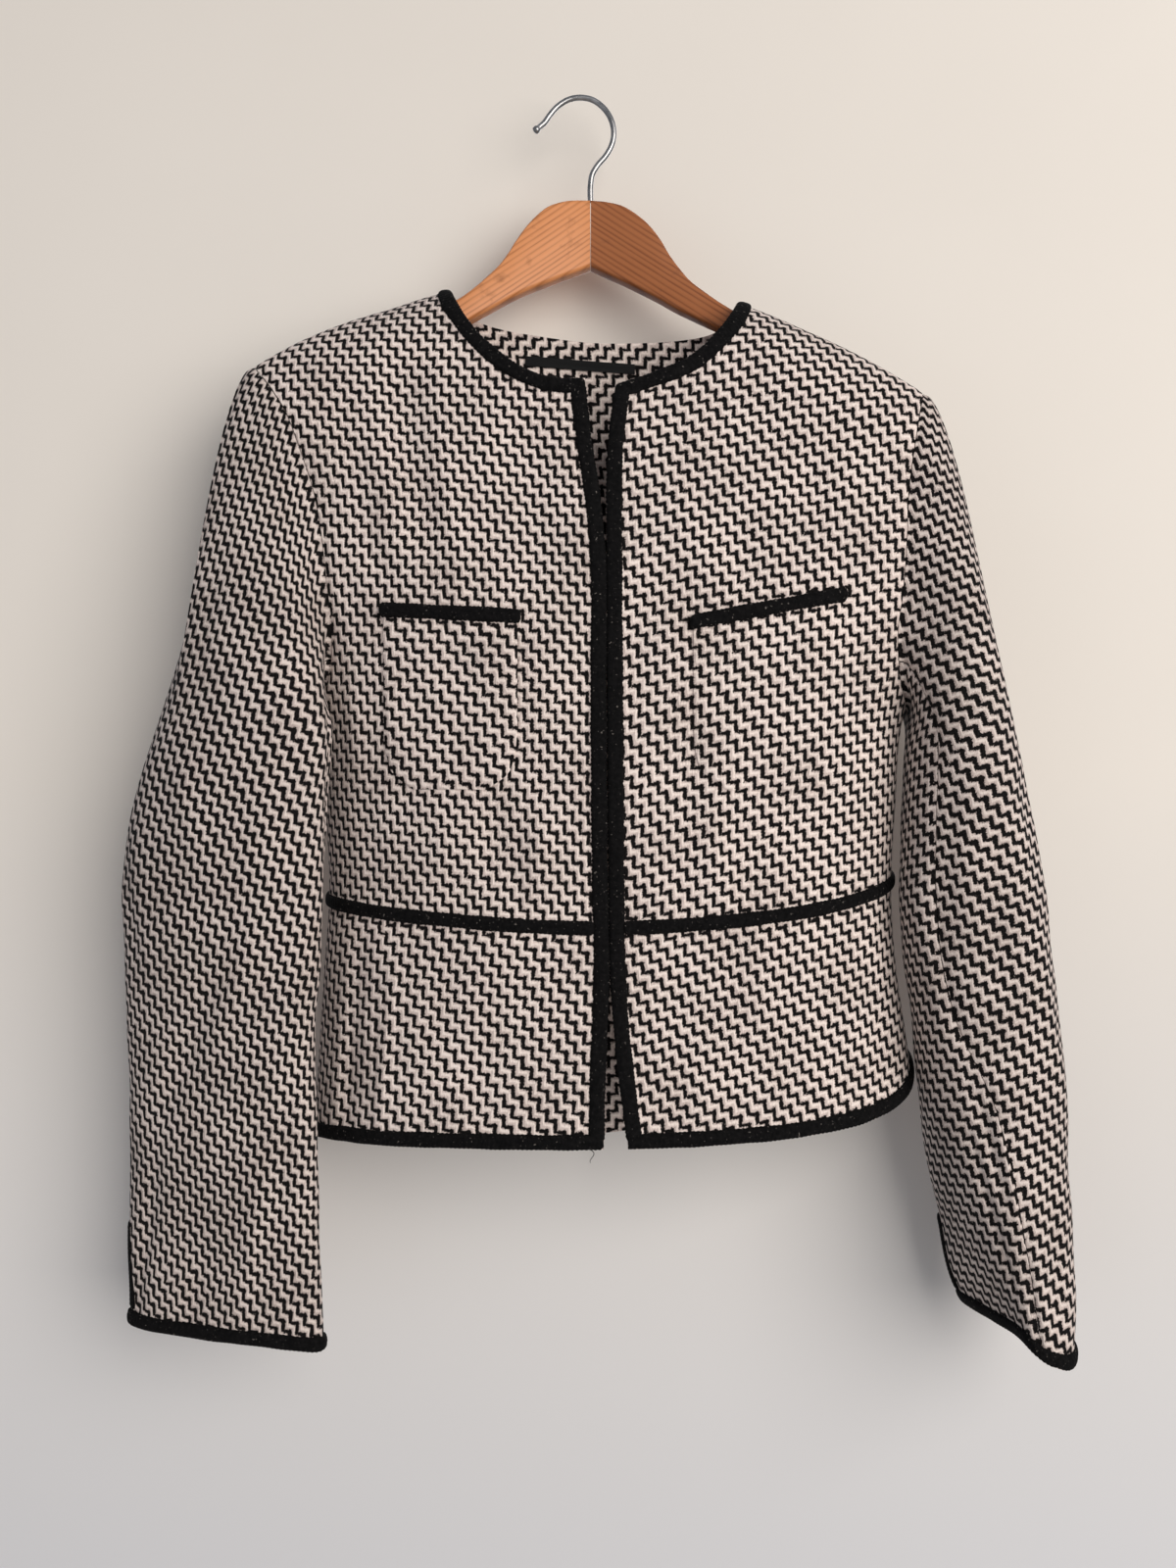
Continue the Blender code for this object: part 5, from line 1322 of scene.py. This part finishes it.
phi, turned = all_round(WAIST_AT_FRONT, BRAID_WIDTH - MM)
lines = [np.stack([turned, waist(turned) + step], -1) for step in (BRAID_WIDTH * 0.46, -BRAID_WIDTH * 0.46)]
braid_waist = braid("braid_waist_knit", "braid_waist", *on_body(*lines))
phi, turned = all_round(float(hem(0.0)), 0.0)
lines = [np.stack([turned, hem(turned) + step], -1) for step in (BRAID_WIDTH, 0.0)]
braid_hem = braid("braid_hem_knit", "braid_hem", *on_body(*lines))

for word, x_out, x_in, z_out, z_in, z_low, lean in POCKETS:
    past = np.sign(x_in - x_out) * 2 * MM
    x = np.linspace(x_out - past, x_in + past, 60)
    z = z_out + (z_in - z_out) * (x - x_out) / (x_in - x_out) + 1.5 * MM
    lines = [np.stack([phi_at(x, z - step), z - step], -1) for step in (0, BRAID_WIDTH - SEAM)]
    pocket_braids[word] = braid(
        f"braid_pocket_{word}_knit", f"braid_pocket_{word}", *on_body(*lines), LIFT + POCKET_WALL
    )

sleeve_braids = {}
for side, word, vent_top in ((-1, "right", VENT_TOP_R), (1, "left", VENT_TOP_L)):
    open_phi = GAP_PHI + np.radians(VENT_OPEN)
    phi = np.linspace(back_seam - 2 * np.pi + open_phi, back_seam - open_phi, 320)
    upper = rate_at(cuff(phi, side) + BRAID_WIDTH, phi, side)
    lines = [sleeve(phi, w, side) for w in (upper, np.full(len(phi), 2.0))]
    made = braid(f"braid_cuff_{word}_knit", f"braid_cuff_{word}", *lines, sleeve_normal(phi, upper, side))
    sleeve_braids["cuff", side] = made
    vent_w = float(rate_at(vent_top, back_seam, side))
    low_z = float(cuff(back_seam, side)) + BRAID_WIDTH + SEAM
    w = np.linspace(vent_w, float(rate_at(low_z, back_seam, side)), 50)
    spread = vent_spread(w, vent_w)
    for cut, edge, sense in (("top", back_seam - 2 * np.pi, 1), ("under", back_seam, -1)):
        walk = np.linspace(0, 0.7, 60)
        edge_line = edge + sense * (GAP_PHI + spread)
        steps = np.diff(sleeve(edge_line[:, None] + sense * walk, w[:, None], side), axis=1)
        run = np.pad(np.cumsum(np.linalg.norm(steps, axis=-1), axis=1), ((0, 0), (1, 0)))
        wide = np.array([np.interp(BRAID_WIDTH, row, walk) for row in run])
        inner_line = edge_line + sense * wide
        lines = [sleeve(phi, w, side) for phi in (edge_line, inner_line)]
        square = sleeve_normal((edge_line + inner_line) / 2, w, side)
        made = braid(f"braid_vent_{cut}_{word}_knit", f"braid_vent_{cut}_{word}", *lines, square)
        sleeve_braids[cut, side] = made

# ---------------------------------------------------------------------------------------------
# Neck label: a blank black woven tape inside the back of the neck, sewn down at its two ends.
# ---------------------------------------------------------------------------------------------
LABEL_HALF, LABEL_TALL, TAPE_THICK = 33 * MM, 5.8 * MM, 0.5 * MM
LABEL_RIGHT, LABEL_LEFT = -150.6 * MM, -155.8 * MM


def woven_tape():
    """Satin tape: near black, with fine ribs across its width."""
    look, shader, node, plug, sum_of = nodes_of("woven_tape")
    where = node("ShaderNodeTexCoord").outputs["Object"]
    ribs = node("ShaderNodeTexWave", {"Vector": where, "Scale": 900.0}, bands_direction="X").outputs["Fac"]
    plug(ramp(node, ribs, (0.2, (0.0015, 0.0015, 0.002)), (0.8, (0.004, 0.004, 0.0045))), "Base Color")
    shader.inputs["Roughness"].default_value = 0.55
    shader.inputs["Specular IOR Level"].default_value = 0.15
    bump = node("ShaderNodeBump", {"Height": ribs, "Strength": 0.3, "Distance": 0.0002})
    plug(bump.outputs[0], "Normal")
    return look


x = np.linspace(-LABEL_HALF, LABEL_HALF, 70)[:, None]
down = np.linspace(0, LABEL_TALL, 10)
z = np.interp(x, (-LABEL_HALF, LABEL_HALF), (LABEL_RIGHT, LABEL_LEFT)) - down
x = np.broadcast_to(x, z.shape)
phi = phi_at(x, z, True)
normal = body_normal(phi, z)
sag = np.cos(np.pi / 2 * x / LABEL_HALF) ** 0.6
bow = 0.7 * MM * sag * (0.6 + 0.4 * np.cos(40 * down / LABEL_TALL * 0.1))
near = body(phi, z) - (WALL + LIFT + TAPE_THICK + bow)[..., None] * normal
label = sheet_of("neck_label_tape", near + TAPE_THICK * normal, near, np.zeros((70, 10, 2)), woven_tape())
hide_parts("neck_label")

# ---------------------------------------------------------------------------------------------
# What has come loose with wear: one thin round thread at the foot of the wearer's right front edge.
# ---------------------------------------------------------------------------------------------


def threads(name, lines, radius, look):
    """Round threads along these lines of points, all in one piece."""
    points, faces = [], []
    for line in lines:
        along = unit(np.gradient(line, axis=0))
        side = unit(np.cross(along, np.array([0.3, 0.9, 0.31])))
        up = np.cross(along, side)
        turn = np.linspace(0, 2 * np.pi, 6, endpoint=False)[None, :, None]
        thin = np.linspace(1, 0.5, len(line))[:, None, None] * radius
        grid = line[:, None] + thin * (np.cos(turn) * side[:, None] + np.sin(turn) * up[:, None])
        base = sum(len(part) for part in points)
        faces += [face + base for face in turned_out(grid, loft(grid))]
        points.append(grid.reshape(-1, 3))
    return piece(name, np.concatenate(points), faces, look)


def plain(name, color, rough):
    look = bpy.data.materials.new(name)
    look.use_nodes = True
    shader = look.node_tree.nodes["Principled BSDF"]
    shader.inputs["Base Color"].default_value = (*color, 1)
    shader.inputs["Roughness"].default_value = rough
    return look


t = np.linspace(0, 1, 14)[:, None]
foot = body(edge_phi(-607 * MM, -1), -607 * MM) + np.array([-8, -2.6, 0]) * MM
loose = foot + np.array([2.5, -0.6, -7.5]) * MM * t + np.array([1.8, 0.4, 0]) * MM * np.sin(5 * t)
thread_look = plain("black_thread", (0.006, 0.006, 0.007), 0.8)
loose_thread = threads("loose_thread", [loose], 0.28 * MM, thread_look)

# ---------------------------------------------------------------------------------------------
# How each panel of cloth was cut, and what hangs with it.
# ---------------------------------------------------------------------------------------------
UNDER_RIGHT = ["front_right_cloth", "back_cloth"]
UNDER_LEFT = ["front_left_cloth", "back_cloth"]
# Each row: panel, width and length of its cut (m), flat area (m2), what it rests on, what is on it.
CUTS = (
    (front_right, (0.255, 0.385), 0.0571, HANGER, [front_braids["right"]]),
    (front_left, (0.265, 0.385), 0.0606, HANGER, [front_braids["left"]]),
    (pockets["right"], (0.076, 0.103), 0.0072, ["front_right_cloth"], [pocket_braids["right"]]),
    (pockets["left"], (0.087, 0.105), 0.0086, ["front_left_cloth"], [pocket_braids["left"]]),
    (back, (0.480, 0.380), 0.1176, HANGER, [braid_neck, label]),
    (peplum_front_right, (0.195, 0.140), 0.0245, ["front_right_cloth"], [loose_thread]),
    (peplum_front_left, (0.195, 0.140), 0.0240, ["front_left_cloth"], []),
    (peplum_back, (0.365, 0.145), 0.0471, ["back_cloth"], [braid_waist, braid_hem]),
    (
        sleeves["top", -1], (0.205, 0.560), 0.0908, UNDER_RIGHT,
        [sleeve_braids["cuff", -1], sleeve_braids["top", -1]],
    ),
    (
        sleeves["top", 1], (0.200, 0.560), 0.0845, UNDER_LEFT,
        [sleeve_braids["cuff", 1], sleeve_braids["top", 1]],
    ),
    (sleeves["under", -1], (0.115, 0.460), 0.0441, UNDER_RIGHT, [sleeve_braids["under", -1]]),
    (sleeves["under", 1], (0.105, 0.450), 0.0377, UNDER_LEFT, [sleeve_braids["under", 1]]),
)
for made, flat, area, rests_on, carried in CUTS:
    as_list(rests_on)
    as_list(carried)

# ---------------------------------------------------------------------------------------------
# Stage: a plain plastered wall close behind, a pale floor far below, soft daylight from in front
# and to the right, and a camera level with the middle of the jacket.
# ---------------------------------------------------------------------------------------------


def stage_plane(name, corners, look):
    mesh = bpy.data.meshes.new(name)
    mesh.from_pydata(corners, [], [(0, 1, 2, 3)])
    made = bpy.data.objects.new(name, mesh)
    made.data.materials.append(look)
    bpy.context.scene.collection.objects.link(made)
    made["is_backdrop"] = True
    return made


def wall_look():
    """Pale plaster, cooler and darker towards its foot as painted shade where the light falls off; its back
    lets the view through.
    """
    look, shader, node, plug, sum_of = nodes_of("plaster")
    where = node("ShaderNodeTexCoord").outputs["Object"]
    mottle = node("ShaderNodeTexNoise", {"Vector": where, "Scale": 2.2, "Detail": 4.0}).outputs["Fac"]
    warm = ramp(node, mottle, (0.3, (0.76, 0.71, 0.65)), (0.7, (0.80, 0.75, 0.69)))
    # Painted shade: from -0.4 m down to -0.95 m the plaster fades to a cool grey, as the light falls off
    # towards the floor.
    height = node("ShaderNodeSeparateXYZ", {0: where}).outputs[2]
    up = node("ShaderNodeMapRange", {"Value": height, "From Min": -0.95, "From Max": -0.40}).outputs[0]
    falloff_shade = node("ShaderNodeMix", {"Factor": up, "A": (0.66, 0.66, 0.68, 1), "B": warm}, data_type="RGBA")
    plug(falloff_shade.outputs[2], "Base Color")
    shader.inputs["Roughness"].default_value = 0.95
    shader.inputs["Specular IOR Level"].default_value = 0.1
    tree = look.node_tree
    clear = node("ShaderNodeBsdfTransparent").outputs[0]
    rear = node("ShaderNodeNewGeometry").outputs["Backfacing"]
    mixed = node("ShaderNodeMixShader", {0: rear, 1: shader.outputs[0], 2: clear}).outputs[0]
    tree.links.new(mixed, tree.nodes["Material Output"].inputs["Surface"])
    return look


wall = stage_plane(
    "wall", [(-3, 0.034, -2.2), (3, 0.034, -2.2), (3, 0.034, 1.8), (-3, 0.034, 1.8)], wall_look()
)
wall.visible_diffuse = wall.visible_glossy = wall.visible_shadow = False
stage_plane(
    "floor", [(-4, -4, -2.2), (4, -4, -2.2), (4, 4, -2.2), (-4, 4, -2.2)],
    plain("floor", (0.62, 0.60, 0.58), 0.9),
)


def soft_light(name, at, to, size, power, color):
    lamp = bpy.data.lights.new(name, "AREA")
    lamp.shape, lamp.size, lamp.size_y = "RECTANGLE", *size
    lamp.energy, lamp.color = power, color
    made = bpy.data.objects.new(name, lamp)
    made.location = at
    direction = np.array(to, float) - np.array(at, float)
    flat = np.hypot(direction[0], direction[1])
    made.rotation_euler = (np.arctan2(flat, -direction[2]), 0, np.arctan2(-direction[0], direction[1]))
    bpy.context.scene.collection.objects.link(made)
    return made


soft_light("window", (1.45, -2.2, 0.10), (0.0, 0.0, -0.40), (2.2, 2.2), 66, (1.0, 0.955, 0.90))
soft_light("fill", (-1.4, -1.5, -0.9), (0.0, 0.0, -0.45), (1.4, 1.6), 2, (0.90, 0.94, 1.0))
soft_light("behind", (0.5, 1.9, 0.6), (0.0, 0.0, -0.4), (1.8, 1.8), 20, (1.0, 0.98, 0.96))

world = bpy.data.worlds.new("pale_room")
world.use_nodes = True
world.node_tree.nodes["Background"].inputs["Color"].default_value = (0.90, 0.93, 1.0, 1)
world.node_tree.nodes["Background"].inputs["Strength"].default_value = 0.34
bpy.context.scene.world = world
bpy.context.scene.view_settings.view_transform = "Standard"

lens = bpy.data.cameras.new("camera")
lens.sensor_fit, lens.sensor_width, lens.lens = "HORIZONTAL", 36, 36 * 0.85 / 0.702
camera = bpy.data.objects.new("camera", lens)
camera.location = (0.0047, -0.85, -0.408)
camera.rotation_euler = (np.pi / 2, 0, 0)
bpy.context.scene.collection.objects.link(camera)
bpy.context.scene.camera = camera

low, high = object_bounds()
